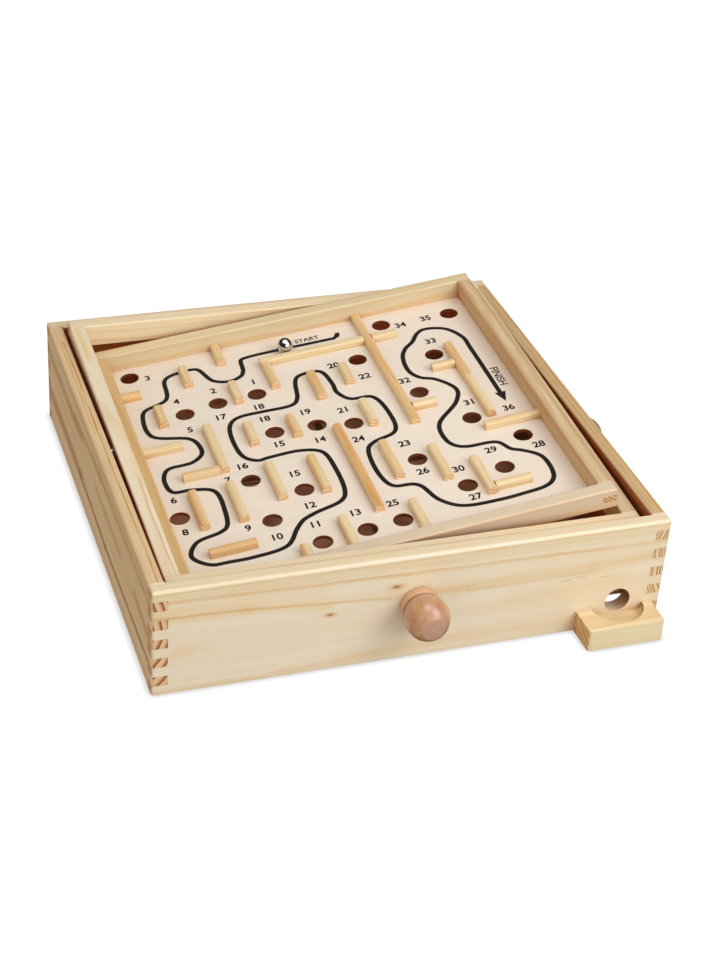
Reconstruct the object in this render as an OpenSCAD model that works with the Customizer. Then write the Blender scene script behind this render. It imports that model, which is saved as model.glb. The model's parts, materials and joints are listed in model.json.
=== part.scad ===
// Wooden labyrinth game: a box, a tilting frame inside it and a tilting maze tray inside that.
// The front knob tilts the tray from side to side, the right knob tilts the frame back and forth.
// Millimetres. +Z is up, the front knob points to -Y and the origin is under the middle of the
// whole object, on the table.

/* [Box] */
// Outside width and depth of the square box
box_w = 320; // [300:2:340]
// Height of the box walls
box_h = 73; // [71:0.5:80]
// Thickness of the box walls
wall_t = 9.5; // [8.5:0.25:10.5]
// Fingers up each corner joint of the box
box_fingers = 11; // [9:2:13]
// Rounding of the sanded outer edges of the box
box_edge_r = 2; // [0.6:0.2:2.6]

/* [Tilting frame] */
// Thickness of the frame's rails
rail_t = 10; // [9:0.5:11]
// Height of the frame's rails
rail_h = 15; // [13:0.5:16]
// Gap between the frame and the left and right box walls
frame_gap_x = 2.5; // [2:0.25:3.5]
// Gap between the frame and the front and back box walls
frame_gap_y = 4.5; // [3.5:0.25:6]
// Tilt of the frame as it stands, back rail up, in degrees
frame_tilt = 2.8; // [0:0.1:4]

/* [Maze tray] */
// Thickness of the tray's walls
tray_t = 9.5; // [8.5:0.25:10.5]
// Height of the tray's walls above the board's upper face
tray_h = 13; // [12:0.5:15]
// Height of the tray's wall tops above the tilting axes
tray_up = 6; // [5:0.25:7]
// Gap between the tray and the frame's left and right rails
tray_gap_x = 2; // [1.5:0.25:3]
// Gap between the tray and the frame's front and back rails
tray_gap_y = 3; // [2:0.25:4]
// Tilt of the tray in the frame as it stands, right side up, in degrees
tray_tilt = 7.5; // [0:0.25:8]
// Fingers up each corner joint of the frame and of the tray
tray_fingers = 3; // [3:2:5]
// Rounding of the sanded edges of the frame and of the tray
tray_edge_r = 1.2; // [0.4:0.1:1.4]

/* [Maze] */
// Thickness of the maze board
board_t = 3; // [2.5:0.25:4]
// Distance from the board's edges to the outer faces of the tray's walls, which stand on it
board_inset = 4; // [1:0.5:5]
// Diameter of the holes that the ball falls through
hole_d = 12.6; // [12:0.1:13]
// Broken edge round the top of each hole
hole_chamfer = 0.4; // [0.2:0.1:0.6]
// Width of the maze sticks
stick_w = 6; // [5:0.25:6.5]
// Height of the maze sticks
stick_h = 5; // [4:0.25:6]
// Rounding along the top of the maze sticks
stick_r = 2; // [1:0.1:2.4]

/* [Ball] */
// Diameter of the steel ball
ball_d = 11; // [10:0.5:11.5]
// Place of the ball along the start channel, from the tray's middle
ball_x = -7; // [-12:1:20]

/* [Ball return] */
// Thickness of the sloping floor sheet
floor_t = 3; // [2.5:0.25:4]
// Height of the floor sheet's upper face at its lowest corner
floor_low = 15.3; // [14.5:0.1:16]
// Slope of the floor sheet towards the front and towards the right, in degrees
floor_slope = 0.5; // [0.3:0.05:0.6]
// Gap between the floor sheet and the front wall
floor_setback = 3.5; // [1:0.25:4]
// Width and height of the battens that carry the floor sheet
batten_w = 6; // [5:0.5:7]
// Diameter of the exit hole in the front wall
exit_d = 16.5; // [15.5:0.25:17.5]
// Distance from the box's right side to the middle of the exit hole
exit_side = 29; // [26:0.5:32]
// Height of the middle of the exit hole
exit_z = 18.5; // [17.5:0.25:19.5]
// Width of the catch block
block_w = 50; // [46:1:56]
// Depth of the catch block in front of the box
block_d = 22; // [20.5:0.5:23]
// Height of the catch block
block_h = 14.5; // [12:0.5:17]
// Distance from the box's right side to the catch block
block_side = 6; // [0:0.5:8]
// Radius of the half-round pocket in the catch block
pocket_r = 17; // [14:0.5:17.5]
// Radius where the pocket's wall curves into its floor
pocket_round = 4; // [1:0.25:4.5]
// Height of the pocket's floor
pocket_floor = 9.2; // [6:0.2:10]

/* [Shafts and knobs] */
// Diameter of both steel shafts
shaft_d = 5; // [4:0.25:5.5]
// Depth of the front knob's shaft below the tilting axes
shaft_below = 26.5; // [26:0.25:27]
// Depth of the right knob's shaft below the front knob's shaft
shaft_step = 6; // [5.75:0.25:7]
// Largest diameter of both knobs
knob_d = 27.2; // [24.6:0.2:30]
// Length of both knobs outside the box
knob_l = 27.5; // [25:0.5:30]
// Distance from the box to the thickest place of each knob
knob_mid = 15.5; // [14:0.5:17]
// Diameter of each knob's collar at the box
collar_d = 23.6; // [20:0.2:24.4]
// Length of each knob's collar
collar_l = 5.75; // [4:0.25:7]
// Diameter of each knob's slightly domed end face
knob_end_d = 14.5; // [12:0.5:18]
// Depth of the bore in each knob
knob_bore = 17; // [12:0.5:19]

/* [Pivots] */
// Diameter of the pivot pins
pin_d = 4; // [3:0.25:5]
// Depth of the frame's pins in the box walls
pin_in_wall = 6; // [4:0.5:7]
// Depth of the tray's pins in the tray walls
pin_in_tray = 7; // [5:0.5:7.5]

/* [Cord gear] */
// Diameter of the cord
cord_d = 0.8; // [0.6:0.05:1]
// Turns of cord on each shaft
cord_turns = 3; // [2:1:5]
// Gap between neighbouring turns of cord
turn_gap = 0.5; // [0.45:0.05:1]
// Distance of each cord from the middle of the box
cord_off = 12; // [11:0.5:14]
// Wire of the screw eyes
eye_wire = 1.2; // [1:0.1:1.4]
// Outside diameter of the eyes
eye_d = 5; // [4.5:0.25:6]
// Outside diameter of the tension springs
spring_d = 4; // [3.5:0.25:4.5]
// Length of the tension springs
spring_l = 12; // [10:0.5:16]
// Wire of the tension springs
spring_wire = 0.5; // [0.4:0.05:0.6]
// Curls of the tension springs
spring_curls = 9; // [6:1:10]

/* [Hidden] */
$fn = 48;
// Overshoot of cutting shapes past the faces that they cut
over = 1;
// Slip between glued finger joints and other fixed wooden pieces
glue_gap = 0.05;
// Radial clearance of a pin or shaft that is pressed in
press_gap = 0.02;
// Radial clearance of a pin or shaft that turns
run_gap = 0.05;
// Air between soft, round or hung pieces and what they rest on
rest_gap = 0.2;

// The two frames and the tray, from outside to inside
box_in = box_w / 2 - wall_t;
pivot_z = box_h - rail_h / 2;
frame_x = box_in - frame_gap_x;
frame_y = box_in - frame_gap_y;
tray_x = frame_x - rail_t - tray_gap_x;
tray_y = frame_y - rail_t - tray_gap_y;
maze_x = tray_x - tray_t;
maze_y = tray_y - tray_t;
board_top = tray_up - tray_h;
board_bottom = board_top - board_t;

// Each nest holds half width, half depth, wall, lowest z, height, fingers and edge rounding
box_nest = [box_w / 2, box_w / 2, wall_t, 0, box_h, box_fingers, box_edge_r];
frame_nest = [frame_x, frame_y, rail_t, -rail_h / 2, rail_h, tray_fingers, tray_edge_r];
tray_nest = [tray_x, tray_y, tray_t, board_top, tray_h, tray_fingers, tray_edge_r];

// The maze was laid out on a board of these half sizes, and is stretched to the tray's own
layout_x = 126.5;
layout_y = 123.5;
maze_sx = maze_x / layout_x;
maze_sy = maze_y / layout_y;

// Places on the layout of the long stick beside the start channel, and of the elbow of two
// sticks in front of the channel
long_x = 49.5;
elbow_x = -24.5;
elbow_y = 93.7;
elbow_end = 63;
// The stick that is cut from darker wood, at the left wall
amber_stick_y = 87.5;
amber_stick_end = -112;
// Middles of the holes on the layout, column by column from the left
holes = [
    [-118, -47], [-114.5, 112.5], [-89, 58], [-67, -26.5], [-65.5, 62], [-65, -69.5],
    [-42, -100.5], [-39, 17], [-38.5, 62.5], [-38, -47.5], [-13, -99], [-11, 14.5],
    [10, -98], [12, 7.5], [36.5, 76], [38, -44], [58.5, -80.5], [63, 24.5],
    [64.5, 110], [85.5, -15], [86.5, -71.5], [87, 62.5], [109.5, -44.5], [113.5, 106.5]
];
// Sticks that run from front to back: middle in x, front end, back end
long_sticks = [
    [-105.5, -64.5, -28.5], [-105, 47.5, 68], [-81, -65.5, -28], [-80, -13.5, 35.5],
    [-79, 86, 107], [-54.5, -layout_y, -103.5], [-54.5, 7, 29], [-53, -53.5, -17],
    [-52, 55, 77], [-52, 103, layout_y], [-26, 5.5, 26.5], [-25.5, -layout_y, -86],
    [-25.5, -56.5, -20], [-0.5, -86, 5], [1, 39.5, 69], [20, -layout_y, -86],
    [21.5, -59.5, -22.5], [23.5, -1, 25.5], [23.5, 49.5, 70], [long_x, -8.5, layout_y],
    [49.5, -72, -38], [70, -95, -59], [98, -19, 66.5]
];
// Sticks that run from left to right: middle in y, left end, right end
cross_sticks = [[-89.5, -109.5, -80], [22, -layout_x, -99], [-29.5, 89, layout_x]];
// Sticks that butt against the side of another: middle in y, free end, middle of the other
butt_sticks = [
    [-11.5, -107, -80], [45, 79, 98], [93.5, 70, long_x], [8, 69, long_x], [-90, 97, 70]
];

// Places on the box
exit_x = box_w / 2 - exit_side;
block_x = box_w / 2 - block_side - block_w / 2;
front_shaft_z = pivot_z - shaft_below;
right_shaft_z = front_shaft_z - shaft_step;
shaft_in_wall = 6;
washer_d = 9;
washer_t = 0.8;
winding_l = cord_turns * (cord_d + turn_gap);
cord_r = shaft_d / 2 + cord_d / 2 + glue_gap;
// The eyes hang from the middle of the wall or rail that they are screwed into
eye_drop = eye_d / 2 + 1;
eye_r = (eye_d - eye_wire) / 2;
eye_shank = 6;
tray_eye = [tray_x - (board_inset + tray_t) / 2, -cord_off, board_bottom - eye_drop];
frame_eye = [cord_off, frame_y - rail_t / 2, -rail_h / 2 - eye_drop];
// Straight end of each winding, and the place past it where the loose cord starts
cord_lead = cord_d;
cord_start = cord_lead + 2 * rest_gap;

// Frames of reference

module in_box() {
    translate([-knob_l / 2, knob_l / 2, 0])
        children();
}

module in_frame() {
    in_box()
        translate([0, 0, pivot_z])
            rotate([frame_tilt, 0, 0])
                children();
}

module in_tray() {
    in_frame()
        rotate([0, -tray_tilt, 0])
            children();
}

// The same two tilts for a point, from the tray or the frame into the box
function frame_point(p) = [
    p.x,
    p.y * cos(frame_tilt) - p.z * sin(frame_tilt),
    p.y * sin(frame_tilt) + p.z * cos(frame_tilt) + pivot_z
];

function tray_point(p) = frame_point([
    p.x * cos(tray_tilt) - p.z * sin(tray_tilt),
    p.y,
    p.x * sin(tray_tilt) + p.z * cos(tray_tilt)
]);

// Shapes shared by several pieces

module rounded_rectangle(w, d, r) {
    square([w - 2 * r, d], center = true);
    square([w, d - 2 * r], center = true);
    for (x = [-1, 1], y = [-1, 1])
        translate([x * (w / 2 - r), y * (d / 2 - r)])
            circle(r);
}

// Rectangle of width w that stands on z with both top corners rounded
module round_topped(w, z, h, r) {
    translate([-w / 2, z])
        square([w, h - r]);
    translate([-w / 2 + r, z])
        square([w - 2 * r, h]);
    for (x = [-1, 1])
        translate([x * (w / 2 - r), z + h - r])
            circle(r);
}

// What is taken off a square edge along X to round it, the solid being at -Y and -Z of it
module edge_round(l, r) {
    difference() {
        translate([-l / 2, -r, -r])
            cube([l, r + over, r + over]);
        translate([-l / 2 - over, -r, -r])
            rotate([0, 90, 0])
                cylinder(r = r, h = l + 2 * over);
    }
}

// A nest's outer form, with its upright edges and its top edges rounded
module nest_form(nest) {
    intersection() {
        translate([0, 0, nest[3] - over])
            linear_extrude(nest[4] + 2 * over)
                rounded_rectangle(2 * nest[0], 2 * nest[1], nest[6]);
        rotate([90, 0, 90])
            translate([0, 0, -nest[0] - over])
                linear_extrude(2 * (nest[0] + over))
                    round_topped(2 * nest[1], nest[3], nest[4], nest[6]);
        rotate([90, 0, 0])
            translate([0, 0, -nest[1] - over])
                linear_extrude(2 * (nest[1] + over))
                    round_topped(2 * nest[0], nest[3], nest[4], nest[6]);
    }
}

// Board at the front (side -1) or back (side 1) of a nest, with every other finger cut away
module end_board(nest, side) {
    finger = nest[4] / nest[5];
    difference() {
        intersection() {
            nest_form(nest);
            translate([-nest[0] - over, side > 0 ? nest[1] - nest[2] : -nest[1] - over, nest[3]])
                cube([2 * (nest[0] + over), nest[2] + over, nest[4]]);
        }
        for (x = [-1, 1], k = [1:2:nest[5] - 1])
            translate([
                x > 0 ? nest[0] - nest[2] - glue_gap : -nest[0] - over,
                side > 0 ? nest[1] - nest[2] - over : -nest[1] - over,
                nest[3] + k * finger - glue_gap
            ])
                cube([nest[2] + glue_gap + over, nest[2] + 2 * over, finger + 2 * glue_gap]);
        translate([0, side * (nest[1] - nest[2]), nest[3] + nest[4]])
            mirror([0, side > 0 ? 1 : 0, 0])
                edge_round(2 * (nest[0] - nest[2]), nest[6]);
    }
}

// Board at the left (side -1) or right (side 1) of a nest, with the fingers that fill the gaps
module side_board(nest, side) {
    finger = nest[4] / nest[5];
    between = nest[1] - nest[2] - glue_gap;
    difference() {
        intersection() {
            nest_form(nest);
            translate([side > 0 ? nest[0] - nest[2] : -nest[0] - over, 0, 0]) {
                translate([0, -between, nest[3]])
                    cube([nest[2] + over, 2 * between, nest[4]]);
                for (k = [1:2:nest[5] - 1])
                    translate([0, -nest[1] - over, nest[3] + k * finger])
                        cube([nest[2] + over, 2 * (nest[1] + over), finger]);
            }
        }
        translate([side * (nest[0] - nest[2]), 0, nest[3] + nest[4]])
            rotate([0, 0, -side * 90])
                mirror([0, 1, 0])
                    edge_round(2 * between, nest[6]);
    }
}

// Straight round piece from point a to point b
module rod(a, b, d) {
    run = b - a;
    translate(a)
        rotate([0, acos(run.z / norm(run)), atan2(run.y, run.x)])
            cylinder(d = d, h = norm(run));
}

// Box walls

module front_wall() {
    color("burlywood")
        in_box()
            difference() {
                end_board(box_nest, -1);
                translate([exit_x, -box_w / 2 - over, exit_z])
                    rotate([-90, 0, 0])
                        cylinder(d = exit_d, h = wall_t + 2 * over);
                translate([0, -box_w / 2 - over, front_shaft_z])
                    rotate([-90, 0, 0])
                        cylinder(r = shaft_d / 2 + run_gap, h = wall_t + 2 * over);
            }
}

module back_wall() {
    color("burlywood")
        in_box()
            difference() {
                end_board(box_nest, 1);
                translate([0, box_in - over, front_shaft_z])
                    rotate([-90, 0, 0])
                        cylinder(r = shaft_d / 2 + run_gap, h = shaft_in_wall + over);
            }
}

module left_wall() {
    color("burlywood")
        in_box()
            difference() {
                side_board(box_nest, -1);
                translate([-box_in + over, 0, pivot_z])
                    rotate([0, -90, 0])
                        cylinder(r = pin_d / 2 + run_gap, h = pin_in_wall + over);
                translate([-box_in + over, 0, right_shaft_z])
                    rotate([0, -90, 0])
                        cylinder(r = shaft_d / 2 + run_gap, h = shaft_in_wall + over);
            }
}

module right_wall() {
    color("burlywood")
        in_box()
            difference() {
                side_board(box_nest, 1);
                translate([box_in - over, 0, pivot_z])
                    rotate([0, 90, 0])
                        cylinder(r = pin_d / 2 + run_gap, h = pin_in_wall + over);
                translate([box_in - over, 0, right_shaft_z])
                    rotate([0, 90, 0])
                        cylinder(r = shaft_d / 2 + run_gap, h = wall_t + 2 * over);
            }
}

// Ball return: the floor slopes down to its front right corner, at the exit hole

module on_slope() {
    in_box()
        translate([box_in, -box_in + floor_setback, floor_low])
            rotate([floor_slope, floor_slope, 0])
                children();
}

floor_w = 2 * (box_in - rest_gap);
floor_d = floor_w + rest_gap - floor_setback;
// The front and right battens stop short of the exit hole, where the sheet's edge shows
exit_bay = exit_side - wall_t + exit_d / 2 + batten_w;
brads_in_row = 5;

module floor_sheet() {
    color("tan")
        on_slope()
            difference() {
                translate([-floor_w - rest_gap, 0, -floor_t])
                    cube([floor_w, floor_d, floor_t]);
                brad_row(0)
                    brad_hole();
                brad_row(1)
                    brad_hole();
            }
}

// Batten under the sheet, from the corner of the slope at x and y
module batten(x, y, w, d) {
    color("wheat")
        on_slope()
            difference() {
                translate([x - rest_gap, y, -floor_t - batten_w - glue_gap])
                    cube([w, d, batten_w]);
                brad_row(0)
                    brad_hole();
                brad_row(1)
                    brad_hole();
            }
}

module front_batten() {
    batten(-floor_w + batten_w + glue_gap, rest_gap - floor_setback,
        floor_w - batten_w - glue_gap - exit_bay, batten_w);
}

module back_batten() {
    batten(-floor_w + batten_w + glue_gap, floor_d - batten_w,
        floor_w - 2 * (batten_w + glue_gap), batten_w);
}

module left_batten() {
    batten(-floor_w, 0, batten_w, floor_d);
}

module right_batten() {
    batten(-batten_w, exit_bay, batten_w, floor_d - exit_bay);
}

// Places of the small nails through the sheet, into the left (0) or right (1) batten
module brad_row(side) {
    from = side * exit_bay + 2 * batten_w;
    step = (floor_d - 2 * batten_w - from) / (brads_in_row - 1);
    for (k = [0:brads_in_row - 1])
        translate([side * (floor_w - batten_w) - floor_w + batten_w / 2 - rest_gap, from + k * step, 0])
            children();
}

brad_d = 1;
brad_l = 7;
brad_head_d = 2.2;
brad_head_t = 0.5;

module brad_hole() {
    translate([0, 0, -brad_l - rest_gap])
        cylinder(r = brad_d / 2 + press_gap, h = brad_l + rest_gap + over);
}

module brad() {
    translate([0, 0, glue_gap])
        cylinder(d = brad_head_d, h = brad_head_t);
    translate([0, 0, -brad_l])
        cylinder(d = brad_d, h = brad_l + glue_gap + brad_head_t / 2);
}

module floor_brads() {
    color("silver")
        on_slope() {
            brad_row(0)
                brad();
            brad_row(1)
                brad();
        }
}

module catch_block() {
    color("khaki")
        in_box()
            difference() {
                intersection() {
                    translate([block_x, -box_w / 2 - block_d / 2, -over])
                        linear_extrude(block_h + over)
                            block_outline();
                    rotate([90, 0, 90])
                        translate([-box_w / 2 - block_d / 2, 0, block_x - block_w / 2 - over])
                            linear_extrude(block_w + 2 * over)
                                round_topped(block_d + 2 * box_edge_r, 0, block_h, box_edge_r);
                }
                translate([exit_x, -box_w / 2, pocket_floor])
                    rotate_extrude()
                        pocket_profile();
            }
}

// Half outline of the pocket, whose wall curves into its floor
module pocket_profile() {
    square([pocket_r - pocket_round, block_h]);
    translate([0, pocket_round])
        square([pocket_r, block_h - pocket_round]);
    intersection() {
        square([pocket_r, block_h]);
        translate([pocket_r - pocket_round, pocket_round])
            circle(pocket_round);
    }
}

// Plan of the block: square at the wall, rounded at its two front corners
module block_outline() {
    corner_r = 2.5;
    difference() {
        square([block_w, block_d], center = true);
        for (x = [-1, 1])
            translate([x * (block_w / 2 - corner_r), -block_d / 2 + corner_r])
                difference() {
                    translate([x > 0 ? 0 : -corner_r - over, -corner_r - over])
                        square(corner_r + over);
                    circle(corner_r);
                }
    }
}

// Tilting frame

// Hole or pin along the tray's tilting axis at the front (side -1) or back (side 1)
module tray_axis(side, from, r, l) {
    translate([0, side * from, 0])
        rotate([side * 90, 0, 0])
            cylinder(r = r, h = l);
}

// Hole or pin along the frame's tilting axis at the left (side -1) or right (side 1)
module frame_axis(side, from, r, l) {
    translate([side * from, 0, 0])
        rotate([0, side * 90, 0])
            cylinder(r = r, h = l);
}

// Hole for the shank of an eye, up into the wood from an eye's middle
module eye_pilot(at) {
    translate(at)
        cylinder(r = eye_wire / 2 + press_gap, h = eye_drop + eye_shank);
}

module frame_end_rail(side) {
    color("wheat")
        in_frame()
            difference() {
                end_board(frame_nest, side);
                tray_axis(side, frame_y + over, pin_d / 2 + press_gap, rail_t + 2 * over);
                eye_pilot([frame_eye.x, side * frame_eye.y, frame_eye.z]);
            }
}

module frame_side_rail(side) {
    color("wheat")
        in_frame()
            difference() {
                side_board(frame_nest, side);
                frame_axis(side, frame_x - rail_t - over, pin_d / 2 + press_gap, rail_t + 2 * over);
            }
}

module frame_front_rail() {
    frame_end_rail(-1);
}

module frame_back_rail() {
    frame_end_rail(1);
}

module frame_left_rail() {
    frame_side_rail(-1);
}

module frame_right_rail() {
    frame_side_rail(1);
}

// Pins through the side rails into the box walls
module frame_pins() {
    color("silver")
        in_frame()
            for (side = [-1, 1])
                frame_axis(side, frame_x - rail_t, pin_d / 2,
                    rail_t + frame_gap_x + pin_in_wall - rest_gap);
}

// Pins through the end rails into the tray walls
module tray_pins() {
    color("silver")
        in_frame()
            for (side = [-1, 1])
                tray_axis(side, frame_y, pin_d / 2,
                    rail_t + tray_gap_y + pin_in_tray - rest_gap);
}

// Maze tray

module tray_end_wall(side) {
    color("bisque")
        in_tray()
            difference() {
                end_board(tray_nest, side);
                tray_axis(side, tray_y + over, pin_d / 2 + run_gap, pin_in_tray + over);
            }
}

module tray_side_wall(side) {
    color("bisque")
        in_tray()
            difference() {
                side_board(tray_nest, side);
                eye_pilot([side * tray_eye.x, tray_eye.y, tray_eye.z]);
            }
}

module tray_front_wall() {
    tray_end_wall(-1);
}

module tray_back_wall() {
    tray_end_wall(1);
}

module tray_left_wall() {
    tray_side_wall(-1);
}

module tray_right_wall() {
    tray_side_wall(1);
}

module maze_board() {
    color("antiquewhite")
        in_tray()
            difference() {
                translate([-tray_x + board_inset, -tray_y + board_inset, board_bottom])
                    cube([2 * (tray_x - board_inset), 2 * (tray_y - board_inset), board_t]);
                for (hole = holes)
                    translate([hole.x * maze_sx, hole.y * maze_sy, board_bottom - over])
                        maze_hole();
                for (side = [-1, 1])
                    eye_pilot([side * tray_eye.x, tray_eye.y, tray_eye.z]);
            }
}

module maze_hole() {
    cylinder(d = hole_d, h = board_t + 2 * over);
    translate([0, 0, board_t + over - hole_chamfer])
        cylinder(d1 = hole_d, d2 = hole_d + 2 * (hole_chamfer + over), h = hole_chamfer + over);
}

// Maze sticks, glued to the board

module stick_profile() {
    round_topped(stick_w, 0, stick_h, stick_r);
}

module long_stick(x, from, to) {
    translate([x * maze_sx, to * maze_sy, board_top])
        rotate([90, 0, 0])
            linear_extrude((to - from) * maze_sy)
                stick_profile();
}

// The trims move an end from the middle to the side of the stick that it meets
module cross_stick(y, from, to, from_trim = 0, to_trim = 0) {
    translate([from * maze_sx + from_trim, y * maze_sy, board_top])
        rotate([90, 0, 90])
            linear_extrude((to - from) * maze_sx - from_trim - to_trim)
                stick_profile();
}

// Sticks whose middle lies in the quarter of the tray that the two signs name
module long_sticks_in(x_sign, y_sign) {
    color("navajowhite")
        in_tray()
            for (s = long_sticks)
                if (s[0] * x_sign > 0 && (s[1] + s[2]) * y_sign > 0)
                    long_stick(s[0], s[1], s[2]);
}

module cross_sticks_in(x_sign, y_sign) {
    color("navajowhite")
        in_tray() {
            for (s = cross_sticks)
                if (s[0] * y_sign > 0 && (s[1] + s[2]) * x_sign > 0)
                    cross_stick(s[0], s[1], s[2]);
            for (s = butt_sticks)
                if (s[0] * y_sign > 0 && s[1] * x_sign > 0) {
                    trim = stick_w / 2 + glue_gap;
                    if (s[2] > s[1])
                        cross_stick(s[0], s[1], s[2], 0, trim);
                    else
                        cross_stick(s[0], s[2], s[1], trim, 0);
                }
        }
}

module long_sticks_back_left() {
    long_sticks_in(-1, 1);
}

module long_sticks_back_right() {
    long_sticks_in(1, 1);
}

module long_sticks_front_left() {
    long_sticks_in(-1, -1);
}

module long_sticks_front_right() {
    long_sticks_in(1, -1);
}

module cross_sticks_back_left() {
    cross_sticks_in(-1, 1);
}

module cross_sticks_back_right() {
    cross_sticks_in(1, 1);
}

module cross_sticks_front_left() {
    cross_sticks_in(-1, -1);
}

module cross_sticks_front_right() {
    cross_sticks_in(1, -1);
}

// Two sticks that meet at a right angle in front of the start channel
module elbow_sticks() {
    half = stick_w / 2;
    color("navajowhite")
        in_tray() {
            cross_stick(elbow_y, elbow_x, long_x, -half, half + glue_gap);
            long_stick(elbow_x, elbow_end, elbow_y - (half + glue_gap) / maze_sy);
        }
}

module amber_stick() {
    color("darkorange")
        in_tray()
            cross_stick(amber_stick_y, -layout_x, amber_stick_end);
}

// Ball, at rest behind the elbow's long arm
module steel_ball() {
    color("silver")
        in_tray()
            translate([
                ball_x * maze_sx,
                elbow_y * maze_sy + stick_w / 2 + ball_d / 2 + rest_gap,
                board_top + ball_d / 2 + rest_gap
            ])
                sphere(d = ball_d);
}

// Shafts: each turns in its knob's wall and in a blind hole in the wall across the box

// Along a shaft from the outer face of its knob's wall (z = 0) into the box (+z)
module on_front_shaft() {
    in_box()
        translate([0, -box_w / 2, front_shaft_z])
            rotate([-90, 0, 0])
                children();
}

module on_right_shaft() {
    in_box()
        translate([box_w / 2, 0, right_shaft_z])
            rotate([0, -90, 0])
                children();
}

module shaft() {
    translate([0, 0, -knob_bore + rest_gap])
        cylinder(d = shaft_d, h = knob_bore + box_w - wall_t + shaft_in_wall - 2 * rest_gap);
}

// Radius of an arc that moves away from its tangent by rise over the length run
function arc_radius(rise, run) = (rise * rise + run * run) / (2 * rise);

collar_edge_r = 0.8;
// How much thinner than the collar the barrel starts, and how far its end face bulges
crease = 1.2;
dome = 0.5;

// Half outline of a knob: a rounded collar, then a barrel that swells and closes in two arcs
module knob_profile() {
    swell_r = arc_radius((knob_d - collar_d) / 2 + crease, knob_mid - collar_l);
    close_r = arc_radius((knob_d - knob_end_d) / 2, knob_l - dome - knob_mid);
    dome_r = arc_radius(dome, knob_end_d / 2);
    intersection() {
        translate([0, collar_l / 2 + rest_gap / 2])
            rounded_rectangle(collar_d, collar_l - rest_gap, collar_edge_r);
        square([collar_d, collar_l]);
    }
    intersection() {
        translate([0, collar_l - collar_edge_r])
            square([knob_d, knob_mid - collar_l + collar_edge_r]);
        translate([knob_d / 2 - swell_r, knob_mid])
            circle(swell_r, $fn = 96);
    }
    intersection() {
        translate([0, knob_mid])
            square([knob_d, knob_l]);
        translate([knob_d / 2 - close_r, knob_mid])
            circle(close_r, $fn = 96);
        translate([0, knob_l - dome_r])
            circle(dome_r, $fn = 240);
    }
}

// Turned knob, from its wall outwards (-z)
module knob() {
    mirror([0, 0, 1])
        difference() {
            rotate_extrude()
                knob_profile();
            translate([0, 0, -over])
                cylinder(r = shaft_d / 2 + press_gap, h = knob_bore + over);
        }
}

// Push-on washer inside the wall that keeps the shaft and knob from being pulled out
module washer() {
    translate([0, 0, wall_t + rest_gap])
        difference() {
            cylinder(d = washer_d, h = washer_t);
            translate([0, 0, -over])
                cylinder(r = shaft_d / 2 + press_gap, h = washer_t + 2 * over);
        }
}

// Wound pieces: a tube of six sides swept along a path. Each step of a path holds a point and
// a direction that points away from the axis round which the path winds.
tube_sides = 6;

function unit(v) = v / norm(v);

function tube_ring(path, i, r) =
    let (
        run = unit(path[min(i + 1, len(path) - 1)][0] - path[max(i - 1, 0)][0]),
        side = unit(path[i][1] - run * (path[i][1] * run)),
        across = cross(run, side)
    )
    [for (k = [0:tube_sides - 1])
        path[i][0] + r * (side * cos(k * 360 / tube_sides) + across * sin(k * 360 / tube_sides))];

module tube(path, d) {
    n = tube_sides;
    last = (len(path) - 1) * n;
    points = [for (i = [0:len(path) - 1]) each tube_ring(path, i, d / 2)];
    faces = [
        for (k = [1:n - 2]) [0, k, k + 1],
        for (k = [1:n - 2]) [last, last + k + 1, last + k],
        for (i = [0:n:last - n], k = [0:n - 1])
            each [
                [i + k, i + n + k, i + n + (k + 1) % n],
                [i + k, i + n + (k + 1) % n, i + (k + 1) % n]
            ]
    ];
    polyhedron(points, faces);
}

// Least gap of a wound tube to itself, between points that lie more than half a turn apart
function self_gap(path, per_turn, d) =
    min([for (i = [0:len(path) - 1], j = [i + per_turn / 2 + 1:len(path) - 1])
        norm(path[i][0] - path[j][0])]) - d;

// Three turns or so of cord round the z axis. They start and end at the angle start, which
// faces down in the box, and run straight there for one cord diameter.
winding_steps = 24;

function winding_path(start) =
    let (
        out = [cos(start), sin(start), 0],
        along = [-sin(start), cos(start), 0],
        steps = cord_turns * winding_steps
    )
    [
        [cord_r * out - cord_lead * along, out],
        for (i = [0:steps])
            let (a = start + i * 360 / winding_steps)
                [[cord_r * cos(a), cord_r * sin(a), winding_l * i / steps], [cos(a), sin(a), 0]],
        [cord_r * out + cord_lead * along + [0, 0, winding_l], out]
    ];

module winding(off, start) {
    path = winding_path(start);
    echo("least gap of a winding to itself", self_gap(path, winding_steps, cord_d));
    translate([0, 0, box_w / 2 + off - winding_l / 2])
        tube(path, cord_d);
}

module front_shaft() {
    color("silver")
        on_front_shaft()
            shaft();
}

module front_knob() {
    color("peru")
        on_front_shaft()
            knob();
}

module front_washer() {
    color("silver")
        on_front_shaft()
            washer();
}

module front_winding() {
    color("dimgray")
        on_front_shaft()
            winding(-cord_off, 90);
}

module right_shaft() {
    color("silver")
        on_right_shaft()
            shaft();
}

module right_knob() {
    color("peru")
        on_right_shaft()
            knob();
}

module right_washer() {
    color("silver")
        on_right_shaft()
            washer();
}

module right_winding() {
    color("dimgray")
        on_right_shaft()
            winding(-cord_off, 180);
}

// Cords: each runs from an eye, under its shaft, and up to the eye across the box

// Screw eye: the ring's middle is at the origin, its shank points up and the ring faces along X
module screw_eye() {
    rotate([0, 90, 0])
        rotate_extrude()
            translate([eye_r, 0])
                circle(d = eye_wire, $fn = 24);
    translate([0, 0, eye_r])
        cylinder(d = eye_wire, h = eye_drop + eye_shank - eye_r - rest_gap);
}

module tray_eyes() {
    color("goldenrod")
        in_tray()
            for (side = [-1, 1])
                translate([side * tray_eye.x, tray_eye.y, tray_eye.z])
                    rotate([0, 0, 90])
                        screw_eye();
}

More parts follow.
